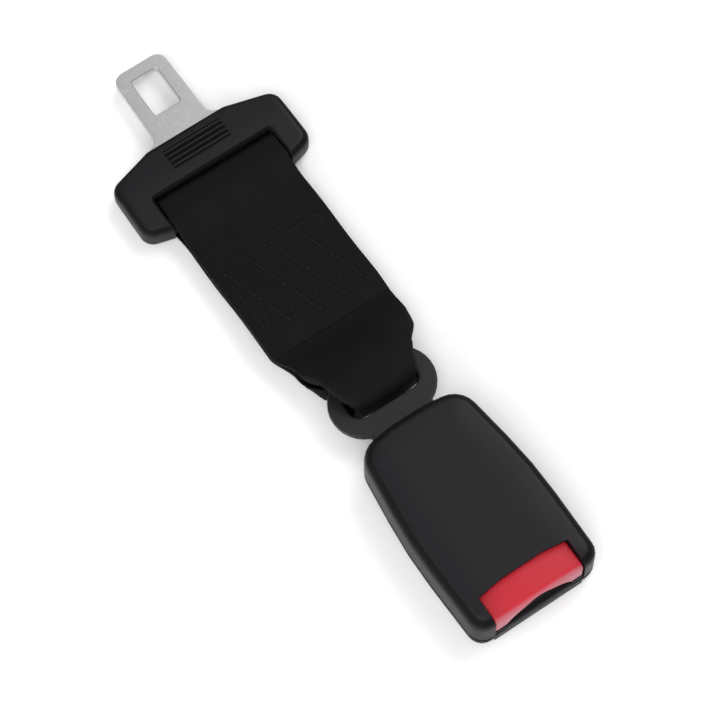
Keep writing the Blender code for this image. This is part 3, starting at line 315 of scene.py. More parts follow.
@dataclass(frozen=True)
class GrainedPlastic:
    """Moulded plastic with a fine etched grain and painted shade on edges, joint and ribs.

    Places in the joint and the ribs count from the lowest corner of the node
    that is named for them. Without a name they get none of that painted shade.
    """

    name: str
    colour: Colour
    roughness: float
    joint_node: str = ""
    rib_node: str = ""
    joint_drop: float = 0.0001
    joint_half: Limits = (0.0004, 0.0007)
    rim_drop: float = 0.0026
    rim_half: Limits = (0.0002, 0.0005)
    rim_share: float = 0.8
    beside_button: Limits = (0.0004, 0.001)
    behind_button: Limits = (0.01, 0.011)
    rib_first: float = 0.02048
    rib_pitch: float = 0.0021
    rib_half: Limits = (0.18, 0.3)
    ribs_start: Limits = (-0.62, -0.5)
    ribs_end: Limits = (3.5, 3.62)
    ribs_half_length: Limits = (0.0117, 0.0121)
    rib_share: float = 0.6
    rounding_start: Limits = (0.35, 0.65)
    rounding_end: Limits = (0.86, 0.965)
    rounding_share: float = 0.5
    grain: float = 0.00032
    grain_depth: float = 0.00003
    softness: float = 2.4
    sink: float = 0.014
    dust: float = 0.0011
    dusty: Limits = (0.66, 0.8)
    specular: float = 0.21

    def painted_joint_shade(self, tree: FinishTree) -> Number:
        """The painted shade in the joint under a cover and along its rim.

        Args:
            tree: The material's nodes.

        Returns:
            1 or more in the joint, less along the rim and 0 elsewhere.
        """
        if not self.joint_node:
            return 0.0
        x, y, z = tree.parts(tree.place)
        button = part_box("release_button")[1]
        beside = abs(x).step(*(button.x + gap for gap in self.beside_button))
        behind = y.step(*(button.y + gap for gap in self.behind_button))
        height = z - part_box(self.joint_node)[0].z
        # Painted shade: a dark line in the gap between the covers and another at the step below
        # it.
        joint = (height + self.joint_drop).within(self.joint_half)
        painted_rim = (height + self.rim_drop).within(self.rim_half)
        return (joint + painted_rim * self.rim_share) * (beside + behind)

    def painted_rib_shade(self, tree: FinishTree) -> Number:
        """The painted shade between the grip's ribs.

        Args:
            tree: The material's nodes.

        Returns:
            1 between two ribs and 0 elsewhere.
        """
        if not self.rib_node:
            return 0.0
        x, y, _ = tree.parts(tree.place)
        along = (y - (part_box(self.rib_node)[0].y + self.rib_first)) / self.rib_pitch
        between = abs((along + 0.5).wrapped() - 0.5).step(*self.rib_half)
        ribbed = along.band(self.ribs_start, self.ribs_end)
        return between * ribbed * x.within(self.ribs_half_length)

    def painted_edge_shade(self, tree: FinishTree) -> Signal:
        """How far a face belongs to the rounding of the upper edge, which gets painted shade."""
        return tree.facing()[2].band(self.rounding_start, self.rounding_end)

    def build(self) -> bpy.types.Material:
        """Make the material.

        Returns:
            The material.
        """
        tree = FinishTree(self.name)
        cells = tree.cells(self.grain)
        soft = tree.noise(self.grain * self.softness, detail=3)
        sink = tree.noise(self.sink, detail=1)
        dust = tree.noise(self.dust).step(*self.dusty)
        pale = toned(self.colour, gain=1.5, lift=0.006)
        grained = tree.blend(dust * 0.35 + soft * 0.12, self.colour, pale)
        # Painted shade: the upper edges' rounding, the joint and the gaps between ribs go towards
        # black, with less reflection.
        shade = (self.painted_edge_shade(tree) * self.rounding_share + self.painted_joint_shade(tree)
                 + self.painted_rib_shade(tree) * self.rib_share)
        colour = tree.blend(shade, grained, BLACK)
        normal = tree.relief(cells * 0.6 + soft * 0.4, self.grain_depth)
        rough = self.roughness + soft.swing(0.08) + sink.swing(0.06) + shade * 0.5
        return tree.surface(Base_Color=colour, Metallic=shade, Roughness=rough, Normal=normal,
                            Specular_IOR_Level=self.specular)


@dataclass(frozen=True)
class SatinPlastic:
    """Smooth moulded plastic, faintly rippled and handled, its front painted a highlight colour.
    """

    name: str
    colour: Colour
    wear_and_highlight: Colour
    roughness: float
    painted_rim: Colour | None = None
    rim_facing: Limits = (0.35, 0.85)
    rim_share: float = 0.75
    ripple: float = 0.0045
    grain: float = 0.0003
    rub: float = 0.006
    rubbed: Limits = (0.5, 0.75)
    depth: float = 0.00008
    specular: float = 0.3

    def build(self) -> bpy.types.Material:
        """Make the material.

        Returns:
            The material.
        """
        tree = FinishTree(self.name)
        ripple = tree.noise(self.ripple, detail=1)
        fine = tree.noise(self.grain)
        rubbed = tree.noise(self.rub, detail=3).step(*self.rubbed)
        colour = tree.blend(rubbed * 0.3, self.colour, self.wear_and_highlight)
        # Painted highlight: faces turned towards -Y are painted towards the rim colour.
        if self.painted_rim:
            front = -1 * tree.facing()[1]
            colour = tree.blend(front.step(*self.rim_facing) * self.rim_share, colour, self.painted_rim)
        normal = tree.relief(ripple * 0.5 + fine * 0.12, self.depth)
        rough = self.roughness + rubbed * 0.08 + fine.swing(0.06)
        return tree.surface(Base_Color=colour, Roughness=rough, Normal=normal,
                            Specular_IOR_Level=self.specular)


@dataclass(frozen=True)
class PlatedSteel:
    """Tumbled zinc plated sheet steel, with painted highlight on its sheared walls, shade on
    rounding.
    """

    name: str
    colour: Colour
    roughness: float
    flat: Limits = (0.3, 0.9)
    corner_start: Limits = (0.35, 0.55)
    corner_end: Limits = (0.86, 0.97)
    corner_shade_share: float = 0.7
    wall_highlight_share: float = 0.8
    pit: float = 0.00022
    speck: float = 0.0005
    crystal: float = 0.0008
    crystals: Limits = (0.3, 0.7)
    cloud: float = 0.005
    clouds: Limits = (0.35, 0.7)
    depth: float = 0.00003

    def build(self) -> bpy.types.Material:
        """Make the material.

        Returns:
            The material.
        """
        tree = FinishTree(self.name)
        upright = abs(tree.facing()[2])
        # The upright cut walls, which get a painted highlight.
        sheared = 1 - upright.step(*self.flat)
        pits = tree.cells(self.pit)
        cloud = tree.noise(self.cloud, detail=3)
        speck = tree.noise(self.speck)
        crystal = tree.noise(self.crystal, detail=5).step(*self.crystals)
        mottled = cloud.step(*self.clouds) * 0.3 + crystal * 1.3
        level = tree.blend(mottled, self.colour, toned(self.colour, gain=0.9))
        # Painted shade on the rounding between the top and the upright walls, painted highlight on
        # the walls.
        corner = upright.band(self.corner_start, self.corner_end)
        painted_corner_shade = tree.blend(corner * self.corner_shade_share, level, toned(self.colour, gain=0.45))
        painted_wall_highlight = toned(self.colour, gain=1.35)
        colour = tree.blend(sheared * self.wall_highlight_share * (1 - corner), painted_corner_shade, painted_wall_highlight)
        normal = tree.relief(pits * 0.5 + speck * 0.5, self.depth)
        rough = self.roughness + cloud.swing(0.05) + speck.swing(0.12) - sheared * 0.1
        return tree.surface(Base_Color=colour, Metallic=1.0, Roughness=rough, Normal=normal)


@dataclass(frozen=True)
class CoatedSteel:
    """Steel under a thin textured black coat, with a grey painted highlight along its forward
    edges.
    """

    name: str
    colour: Colour
    roughness: float
    # The grey of the painted highlight along the forward edges.
    wear_and_highlight: Colour = (0.16, 0.16, 0.17)
    highlight_share: float = 0.8
    edge_start: Limits = (0.3, 0.5)
    edge_end: Limits = (0.88, 0.98)
    forward: Limits = (0.2, 0.5)
    peel: float = 0.0006
    cloud: float = 0.004
    rub: float = 0.0018
    rubbed: Limits = (0.62, 0.78)
    depth: float = 0.00006
    specular: float = 0.28

    def build(self) -> bpy.types.Material:
        """Make the material.

        Returns:
            The material.
        """
        tree = FinishTree(self.name)
        peel = tree.noise(self.peel)
        cloud = tree.noise(self.cloud)
        rubbed = tree.noise(self.rub, detail=3).step(*self.rubbed)
        pale = toned(self.colour, gain=1.9, lift=0.004)
        level = tree.blend(rubbed * 0.4 + cloud * 0.2, self.colour, pale)
        # Painted highlight: upper edges that face forward and up are painted grey.
        _, ahead, upright = tree.facing()
        edge = upright.band(self.edge_start, self.edge_end) * ahead.step(*self.forward)
        colour = tree.blend(edge * self.highlight_share, level, self.wear_and_highlight)
        rough = self.roughness + peel.swing(0.15) - rubbed * 0.08
        return tree.surface(Base_Color=colour, Roughness=rough,
                            Normal=tree.relief(peel, self.depth),
                            Specular_IOR_Level=self.specular)


@dataclass(frozen=True)
class DrawnSteel:
    """Bright drawn wire and rolled strip."""

    name: str
    colour: Colour
    roughness: float
    streak: float = 0.0004
    oil: float = 0.003
    oiled: Limits = (0.5, 0.8)
    depth: float = 0.00001

    def build(self) -> bpy.types.Material:
        """Make the material.

        Returns:
            The material.
        """
        tree = FinishTree(self.name)
        streak = tree.noise(self.streak)
        oil = tree.noise(self.oil).step(*self.oiled)
        colour = tree.blend(oil * 0.6, self.colour, toned(self.colour, gain=0.6))
        rough = self.roughness + streak.swing(0.1)
        return tree.surface(Base_Color=colour, Metallic=1.0, Roughness=rough,
                            Normal=tree.relief(streak, self.depth))


@dataclass(frozen=True)
class Weave:
    """Belt webbing: warp cords in herringbone panels, a selvedge and sealed ends.

    Panels, cords and picks count over one width of the belt, which is the unit
    of its UV map.
    """

    name: str
    colour: Colour
    lit: Colour
    panels: float = 6.0
    cords: float = 64.0
    picks: float = 58.0
    selvedge: Limits = (0.478, 0.492)
    fuzz: float = 0.0004
    shade: float = 0.012
    roughness: float = 0.62
    sealed_gloss: float = 0.25
    depth: float = 0.00008
    specular: float = 0.1

    def build(self) -> bpy.types.Material:
        """Make the material.

        Returns:
            The material.
        """
        tree = FinishTree(self.name)
        across, along, _ = tree.parts(tree.signal("ShaderNodeUVMap", {"uv_map": "weave"}))
        panel = (across * self.panels).floor()
        slant = (panel * 0.5).wrapped() * 4 - 1
        cord = (across * self.cords * math.pi).sine()
        twill = ((along * self.picks + across * slant * self.cords * 0.5) * math.tau).sine()
        thread = (twill * 0.5 + 0.5) * (1 - abs(cord) * 0.25)
        edge = abs(across - 0.5).step(*self.selvedge)
        fuzz = tree.noise(self.fuzz, detail=3)
        shade = tree.noise(self.shade)
        sealed = tree.signal("ShaderNodeAttribute", {"attribute_name": "sealed"}, output="Fac")
        colour = tree.blend(thread * 0.3 + fuzz * 0.4, self.colour, self.lit)
        normal = tree.relief(thread * 0.55 + fuzz * 0.45 + edge * 0.3, self.depth)
        rough = self.roughness + fuzz.swing(0.2) + shade.swing(0.1) - sealed * self.sealed_gloss
        return tree.surface(Base_Color=colour, Roughness=rough, Normal=normal,
                            Specular_IOR_Level=self.specular)


@dataclass(frozen=True)
class Thread:
    """Twisted sewing thread."""

    name: str
    colour: Colour
    roughness: float = 0.5
    pitch: float = 0.0005
    depth: float = 0.00005
    specular: float = 0.2

    def build(self) -> bpy.types.Material:
        """Make the material.

        Returns:
            The material.
        """
        tree = FinishTree(self.name)
        x, y, z = tree.parts(tree.place)
        twist = ((x + y + z) * (math.tau / self.pitch)).sine() * 0.5 + 0.5
        colour = tree.blend(twist * 0.5, self.colour, toned(self.colour, gain=2.2))
        return tree.surface(Base_Color=colour, Roughness=self.roughness + twist * 0.1,
                            Specular_IOR_Level=self.specular,
                            Normal=tree.relief(twist, self.depth))


@dataclass(frozen=True)
class Backdrop:
    """Plain pale studio floor."""

    name: str
    colour: Colour
    roughness: float = 0.9
    haze: float = 0.4

    def build(self) -> bpy.types.Material:
        """Make the material.

        Returns:
            The material.
        """
        tree = FinishTree(self.name)
        haze = tree.noise(self.haze, detail=1)
        colour = tree.blend(haze, self.colour, toned(self.colour, gain=0.985))
        return tree.surface(Base_Color=colour, Roughness=self.roughness)


FINISHES = {
    Slot.BLACK_PLASTIC: GrainedPlastic("grained_black_plastic", (0.0056, 0.0051, 0.0066), 0.46),
    # The red button's front faces get a pinkish grey painted highlight as their rim colour.
    Slot.RED_PLASTIC: SatinPlastic("red_plastic_satin", (0.435, 0.014, 0.026),
                                   wear_and_highlight=(0.47, 0.021, 0.035), roughness=0.4,
                                   painted_rim=(0.40, 0.13, 0.16)),
    Slot.WHITE_PLASTIC: SatinPlastic("white_plastic_satin", (0.60, 0.59, 0.56),
                                     wear_and_highlight=(0.5, 0.49, 0.46), roughness=0.45),
    Slot.PLATED_STEEL: PlatedSteel("zinc_plated_steel", (0.50, 0.50, 0.51), 0.42),
    Slot.COATED_STEEL: CoatedSteel("black_coated_steel", (0.0075, 0.0070, 0.0085), 0.46),
    Slot.SPRING_STEEL: DrawnSteel("drawn_spring_steel", (0.50, 0.50, 0.52), 0.3),
    Slot.WEBBING: Weave("black_belt_weave", (0.0017, 0.0019, 0.0023),
                        lit=(0.0040, 0.0043, 0.0050)),
}
THREAD = Thread("black_sewing_thread", (0.0034, 0.0033, 0.0038))
FLOOR = Backdrop("studio_floor", (0.93, 0.93, 0.935))


@dataclass(frozen=True)
class Palette:
    """The built materials: by slot, of the nodes that have their own, and of the thread."""

    materials: dict[Slot, bpy.types.Material]
    own: dict[str, bpy.types.Material]
    thread: bpy.types.Material

    @classmethod
    def mixed(cls) -> "Palette":
        """Build every finish once.

        Returns:
            The palette.
        """
        made = {slot: finish.build() for slot, finish in FINISHES.items()}
        black = FINISHES[Slot.BLACK_PLASTIC]
        # The covers get painted shade in their joint, the grip painted shade between its ribs.
        covers = replace(black, name="grained_black_covers", joint_node="upper_cover").build()
        grip = replace(black, name="grained_black_grip", rib_node="tongue_cover").build()
        own = {"upper_cover": covers, "lower_cover": covers, "tongue_cover": grip}
        return cls(made, own, THREAD.build())

    def of(self, node: str, slot: Slot) -> bpy.types.Material:
        """The material of a node, its own or else its slot's."""
        return self.own.get(node, self.materials[slot])


def dressed(piece: bpy.types.Object, material: bpy.types.Material) -> bpy.types.Object:
    """Give an object one material.

    Args:
        piece: The object.
        material: The material of all its faces.

    Returns:
        The same object.
    """
    piece.data.materials.clear()
    piece.data.materials.append(material)
    return piece


def linked(mesh: bpy.types.Mesh) -> bpy.types.Object:
    """Put a mesh in the scene, at the origin and under its own name.

    Args:
        mesh: The mesh.

    Returns:
        Its object.
    """
    piece = bpy.data.objects.new(mesh.name, mesh)
    bpy.context.scene.collection.objects.link(piece)
    return piece


@dataclass
class Skin:
    """A rigid piece in the form of its CAD node, its edges broken."""

    node: str
    body: Body
    slot: Slot
    edge: float
    clamped: bool = True
    segments: int = 2
    sharp_from: float = math.radians(32)
    flat_within: float = math.radians(0.3)

    def build(self, palette: Palette) -> bpy.types.Object:
        """Make the piece and hide the node that it stands for.

        Args:
            palette: The built materials.

        Returns:
            The piece.
        """
        shape = bmesh.new()
        shape.from_mesh(bpy.data.objects[self.node].data)
        bmesh.ops.remove_doubles(shape, verts=shape.verts, dist=SAME_POINT)
        bmesh.ops.dissolve_limit(shape, angle_limit=self.flat_within,
                                 verts=shape.verts, edges=shape.edges)
        for face in shape.faces:
            face.smooth = True
        mesh = bpy.data.meshes.new(self.node + "_skin")
        shape.to_mesh(mesh)
        shape.free()
        piece = dressed(linked(mesh), palette.of(self.node, self.slot))
        bevel = piece.modifiers.new("broken edges", "BEVEL")
        bevel.width = self.edge
        bevel.segments = self.segments
        bevel.limit_method = "ANGLE"
        bevel.angle_limit = self.sharp_from
        bevel.use_clamp_overlap = self.clamped
        weigh = piece.modifiers.new("even shading", "WEIGHTED_NORMAL")
        weigh.keep_sharp = False
        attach(piece, self.body.value)
        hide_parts(self.node)
        LOG.info("%s: %d faces", piece.name, len(mesh.polygons))
        return piece


@dataclass
class Spring:
    """A spring of the buckle, copied from its CAD node."""

    node: str
    joint: str
    axis: Vector
    travel: float

    def build(self, palette: Palette) -> bpy.types.Object:
        """Make the spring from its CAD node.

        Args:
            palette: The built materials.

        Returns:
            The spring.
        """
        mesh = bpy.data.objects[self.node].data.copy()
        mesh.name = self.node + "_sprung"
        piece = dressed(linked(mesh), palette.materials[Slot.SPRING_STEEL])
        low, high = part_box(self.node)
        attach(piece, Body.BUCKLE.value)
        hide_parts(self.node)
        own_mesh(piece)
        return piece


def eased(value: Values) -> Values:
    """Smooth step from 0 to 1."""
    value = np.clip(value, 0.0, 1.0)
    return value * value * (3 - 2 * value)


@dataclass(frozen=True)
class Ease:
    """A smooth step from 0 to 1 over a run, backwards where the run is negative."""

    start: float
    run: float

    def at(self, place: Values) -> Values:
        """How far the step has come at a place."""
        return eased((place - self.start) / self.run)


@dataclass(frozen=True)
class Hump:
    """A rise that dies away on both sides of its middle."""

    size: float
    middle: float
    spread: float

    def at(self, place: float) -> float:
        """The rise at a place."""
        return self.size * math.exp(-((place - self.middle) / self.spread) ** 2)


def run_along(line: np.ndarray) -> np.ndarray:
    """The length along a line from its first point to each point."""
    steps = np.linalg.norm(np.diff(line, axis=0), axis=1)
    return np.concatenate([[0], np.cumsum(steps)])


def arc(centre: tuple[float, float], radius: float, start: float, end: float,
        count: int) -> Points:
    """Points of an arc.

    Args:
        centre: The arc's centre.
        radius: Its radius.
        start: The first angle, in degrees.
        end: The last angle, in degrees.
        count: How many chords it has.

    Returns:
        The points, both ends included.
    """
    angles = np.radians(np.linspace(start, end, count + 1))
    return [(centre[0] + radius * math.cos(a), centre[1] + radius * math.sin(a)) for a in angles]


def ramp(end: float, run: float, low: float, high: float, shares: np.ndarray) -> Points:
    """Points of a line that eases from one height to another.

    Args:
        end: Where it has the second height.
        run: How far from there it has the first.
        low: The first height.
        high: The second height.
        shares: Places on it, 0 at the first height and 1 at the second.

    Returns:
        The points, in the order of their shares.
    """
    return [(end + run * (1 - share), low + (high - low) * eased(share)) for share in shares]


@dataclass
class Strap:
    """The strip of webbing, wound round the tongue's bar and the anchor's bar.

    Lengths along it are measured from the anchor bar's axis towards the tongue,
    heights from the line between the two bars' axes. An Ease says where along
    it, at which height or with how much spare width one of its forms sets in.
    """

    width: float = 0.048
    thickness: float = 0.0013
    play: float = 0.0003
    tongue_bar_radius: float = 0.0037
    tongue_core_depth: float = 0.0044
    anchor_bar_depth: float = 0.007
    seam_start: float = 0.0215
    seam_end: float = 0.0605
    seam_middle: float = 0.7
    loop_run: float = 0.012
    loop_points: int = 9
    gather_run: float = 0.022
    gather_points: int = 13
    nose_angle: float = 85.0
    tongue_nose: float = 0.0095
    tongue_nose_radius: float = 0.0026
    tongue_nose_tucks: tuple[float, float] = (0.0005, 0.0007)
    tongue_nose_chords: int = 5
    anchor_nose: float = 0.0129
    anchor_nose_radius: float = 0.0052
    anchor_nose_tuck: float = 0.0004
    anchor_nose_chords: int = 6
    gathered_half: float = 0.0136
    gather_start: float = 0.014
    nose_narrowing: float = 0.0019
    narrowing: Ease = Ease(-0.0095, -0.003)
    lower_spread: float = 0.0010
    lower: Ease = Ease(0.0022, 0.0032)
    upper_half: float = 0.0170
    upper_taper: float = 0.4
    upper_power: float = 1.6
    upper: Ease = Ease(0.003, 0.0035)
    fold_radius: float = 0.00085
    fold_spare: float = 0.002
    fold_turns: tuple[float, float, float] = (60.0, 90.0, 30.0)
    folding: Ease = Ease(0.004, 0.005)
    roll_radius: float = 0.0015
    roll_drop: float = 0.0008
    rolling: Ease = Ease(0.018, 0.004 - 0.018)
    droop: Hump = Hump(0.0016, 0.0095, 0.0055)
    lean: Hump = Hump(0.0012, 0.004, 0.009)
    nose_lean: float = 0.0004
    nose_leaning: Ease = Ease(-0.006, -0.004)
    draw: float = 0.0038
    draw_in: Ease = Ease(0.024, -0.012)
    draw_out: Ease = Ease(-0.002, 0.010)
    sag: float = 0.00012
    sag_waves: tuple[float, float] = (0.011, 0.03)
    sagging: Ease = Ease(0.015, 0.01)
    crease: float = 0.00035
    crease_in: Ease = Ease(0.019, -0.012)
    crease_out: Ease = Ease(-0.004, 0.004)
    edge_wave: float = 0.0058
    edge_wander: float = 0.006
    edge_wandering: Ease = Ease(0.016, 0.006)
    selvedge_thinning: float = 0.35
    selvedge_power: int = 24
    end_taper: float = 0.0080
    end_thinning: float = 0.85
    end_drop: float = 0.00085
    sealed_run: float = 0.0012
    bend_start: float = -0.0030
    bend_end: float = 0.0195
    pitch: float = 0.00055
    smoothings: int = 3
    columns: int = 46
    column_power: float = 1.25

    def __post_init__(self) -> None:
        """Take the two bars' places from the frame, and lay the strip's middle line."""
        low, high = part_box("anchor_plate")
        self.anchor_axis = Vector((0, high.y - self.anchor_bar_depth / 2, (low.z + high.z) / 2))
        self.plate_half_thickness = (high.z - low.z) / 2
        low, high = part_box("tongue_plate")
        self.tongue_axis = Vector((0, low.y + self.tongue_core_depth / 2, (low.z + high.z) / 2))
        between = self.tongue_axis - self.anchor_axis
        self.span = between.length
        self.slope = math.atan2(between.z, between.y)
        self.ply = self.thickness + self.play
        self.bar = self.tongue_bar_radius + self.play + self.thickness / 2
        self.line = self.middle_line()
        self.length = float(run_along(self.line)[-1])

    def middle_line(self) -> np.ndarray:
        """The strip's middle line from its upper end to its lower end.

        Returns:
            Rows of length along and height, evenly spaced and smoothed.
        """
        ply, bar, far = self.ply, self.bar, self.span
        corner = math.hypot(self.anchor_bar_depth, 2 * self.plate_half_thickness) / 2
        gather = corner + self.play + 2 * self.roll_radius + self.roll_drop - self.thickness / 2
        middle = self.seam_end * self.seam_middle
        loop, gathers, turn = self.loop_points, self.gather_points, self.nose_angle
        line = [(self.seam_start, ply), (middle, ply)]
        line += ramp(far, -self.loop_run, ply, bar, np.linspace(0, 1, loop))
        radius, chords = self.tongue_nose_radius, self.tongue_nose_chords
        nose = far + self.tongue_nose - self.thickness / 2 - radius
        over, under = self.tongue_nose_tucks
        line += arc((nose, bar - over - radius), radius, turn, 0, chords)
        line += arc((nose, radius - bar + under), radius, 0, -turn, chords)
        line += ramp(far, -self.loop_run, -ply, -bar, np.linspace(1, 0, loop))
        line.append((middle, -ply))
        line += ramp(0, self.gather_run, -ply, -gather, np.linspace(0, 1, gathers))
        radius, chords = self.anchor_nose_radius, self.anchor_nose_chords
        tuck = self.anchor_nose_tuck
        nose = self.thickness / 2 + radius - self.anchor_nose
        line += arc((nose, radius - gather + tuck), radius, 180 + turn, 180, chords)
        line += arc((nose, gather - tuck - radius), radius, 180, 180 - turn, chords)
        line += ramp(0, self.gather_run, 0, gather, np.linspace(1, 0, gathers))
        line += [(middle, 0), (self.seam_end, 0)]
        return self._evened(np.array(line))

    def _evened(self, line: np.ndarray) -> np.ndarray:
        """Space a line's points evenly and take the corners off it.

        Args:
            line: The points.

        Returns:
            The new points, one to each pitch of length.
        """
        run = run_along(line)
        even = np.linspace(0, run[-1], int(run[-1] / self.pitch) + 1)
        points = np.stack([np.interp(even, run, line[:, k]) for k in range(2)], axis=1)
        for _ in range(self.smoothings):
            points[1:-1] = (points[:-2] + 2 * points[1:-1] + points[2:]) / 4
        return points

    def half_width(self, along: float, height: float) -> float:
        """Half the strip's width where it is seen from above.

        It draws in as far as the slot only where it goes through the plate, and
        lies wider over and under it.

        Args:
            along: The length along the strap.
            height: The height over the line between the bars.

        Returns:
            Half the width.
        """
        flat = self.width / 2
        gathered = 1 - min(max(along / self.gather_start, 0), 1)
        half = flat - (flat - self.gathered_half) * gathered ** 2
        below = self.lower.at(-height)
        half -= self.nose_narrowing * self.narrowing.at(along) * (1 - below)
        half += self.lower_spread * below * gathered ** 2
        wide = flat - (flat - self.upper_half) * gathered ** self.upper_power
        wide -= self.upper_taper * max(-along, 0)
        return half + (wide - half) * self.upper.at(height)

    def across(self, along: float, height: float,
               share: np.ndarray) -> tuple[np.ndarray, np.ndarray]:
        """The strip's middle surface across its width at one place.

        Its spare width is turned under along both edges.

        Args:
            along: The length along the strap.
            height: The middle line's height there.
            share: Places across the flat strip, from -1 to 1.

        Returns:
            Distances across, and heights over the middle line.
        """
        flat = self.width / 2
        half = self.half_width(along, height)
        spare = max(flat - half, 0.0)
        radius = self.fold_radius * min(1.0, spare / self.fold_spare)
        first, second, third = self.fold_turns
        turn = math.radians(first + second * min(spare / self.folding.start, 1.0)
                            + third * self.folding.at(spare))
        if turn < math.pi / 2:
            bow = radius * (math.sin(turn) - turn * math.cos(turn))
            reach = (spare + bow) / (1 - math.cos(turn))
        else:
            reach = spare + radius
        reach = max(reach, radius * turn)
        straight = flat - reach
        q = np.abs(share) * flat
        bent = np.clip((q - straight) / max(radius, TINY), 0, turn)
        rest = np.clip(q - straight - radius * turn, 0, None)
        x = np.minimum(q, straight) + radius * np.sin(bent) + rest * math.cos(turn)
        h = -radius * (1 - np.cos(bent)) - rest * math.sin(turn)
        droop = self.roll_drop + self.droop.at(along)
        h = h - droop * self.rolling.at(along) * (x / half) ** 2
        aside = self.lean.at(along) * self.upper.at(height)
        aside += self.nose_lean * self.nose_leaning.at(along)
        drawn = self.draw * (self.draw_in.at(along) * self.draw_out.at(along))
        x = np.where(share < 0, -x * (1 - drawn / half), x)
        return x + aside, h

    def placed(self, along: Values, height: Values, x: Values) -> np.ndarray:
        """Points of the row frame from the strap's own lengths and heights.

        Args:
            along: Lengths along the strap.
            height: Heights over the line between the bars.
            x: Distances across.

        Returns:
            The points, one row each.
        """
        cos, sin = math.cos(self.slope), math.sin(self.slope)
        y = self.anchor_axis.y + along * cos - height * sin
        z = self.anchor_axis.z + along * sin + height * cos
        return np.stack([x, y, z], axis=-1)

    def waviness(self, along: float, run: float, share: np.ndarray) -> np.ndarray:
        """Small heights that keep the plies from lying dead flat.

        Args:
            along: The length along the strap.
            run: The length along the strip from its upper end.
            share: Places across the flat strip, from -1 to 1.

        Returns:
            The heights.
        """
        first, second = self.sag_waves
        sag = self.sag * np.sin(run / first + 1.3) * np.cos(share * 2.1 + run / second)
        near = self.crease_in.at(along) * self.crease_out.at(along)
        folds = self.crease * np.cos(share * 9.0 + 0.7 + along * 60) * near * (1 - share ** 2)
        return sag * self.sagging.at(along) + folds

    def section(self, place: np.ndarray, run: float, thinned: float,
                share: np.ndarray) -> tuple[np.ndarray, np.ndarray]:
        """The strip's outline at one place, up one face and back along the other.

        Args:
            place: The length along the strap and the height there.
            run: The length along the strip from its upper end.
            thinned: How far the strip's end thins it, from 0 to 1.
            share: Places across the flat strip, from -1 to 1.

        Returns:
            Distances across, and heights over the middle line.
        """
        along, height = place
        x, h = self.across(along, height, share)
        wander = self.edge_wander * math.sin(run / self.edge_wave + 0.6)
        x = x * (1 + wander * self.edge_wandering.at(along))
        h = h + self.waviness(along, run, share)
        tangent = np.stack([np.gradient(x), np.gradient(h)], axis=1)
        tangent /= np.linalg.norm(tangent, axis=1)[:, None]
        selvedge = 1 - self.selvedge_thinning * np.abs(share) ** self.selvedge_power
        half = self.thickness / 2 * selvedge * (1 - self.end_thinning * thinned)
        aside, rise = tangent[:, 1] * half, tangent[:, 0] * half
        return (np.concatenate([x - aside, (x + aside)[::-1]]),
                np.concatenate([h + rise, (h - rise)[::-1]]))

    def build(self, palette: Palette) -> bpy.types.Object:
        """Make the strap and hide the CAD node that it stands for.

        Args:
            palette: The built materials.

        Returns:
            The strap.
        """
        ways = np.gradient(self.line, axis=0)
        ways /= np.linalg.norm(ways, axis=1)[:, None]
        outward = np.stack([-ways[:, 1], ways[:, 0]], axis=1)
        run = run_along(self.line)
        thinned = 1 - eased(run / self.end_taper)
        line = self.line - outward * (self.end_drop * thinned)[:, None]
        share = np.linspace(-1, 1, self.columns + 1)
        share = np.sign(share) * (1 - (1 - np.abs(share)) ** self.column_power)
        flat = np.concatenate([share, share[::-1]]) / 2 + 0.5
        rings, charts = [], []
        for i, (along, height) in enumerate(line):
            x, h = self.section(line[i], run[i], thinned[i], share)
            rings.append(self.placed(along + outward[i, 0] * h, height + outward[i, 1] * h, x))
            charts.append(np.stack([flat, np.full(len(flat), run[i] / self.width)], axis=1))
        mesh = ring_mesh("webbing_strip", np.array(rings), np.array(charts))
        sealed = mesh.attributes.new("sealed", "FLOAT", "POINT")
        ends = np.minimum(run, run[-1] - run)
        values = np.repeat(1 - eased(ends / self.sealed_run), len(flat))
        sealed.data.foreach_set("value", values.astype(np.float32))
        piece = dressed(linked(mesh), palette.materials[Slot.WEBBING])
        start, end = (Vector(self.placed(at, 0.0, 0.0)) for at in (self.bend_start, self.bend_end))
        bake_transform(piece)
        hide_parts("webbing")
        return piece

    def top_point(self, along: float, x: float) -> Vector:
        """A point on the upper ply's face, between its end and the tongue.

        Args:
            along: The length along the strap.
            x: The distance across.

        Returns:
            The point.
        """
        lift = self.ply + self.thickness / 2
        start = self.span - self.loop_run
        if along > start:
            lift += (self.bar - self.ply) * eased((along - start) / self.loop_run)
        return Vector(self.placed(along, lift, x))


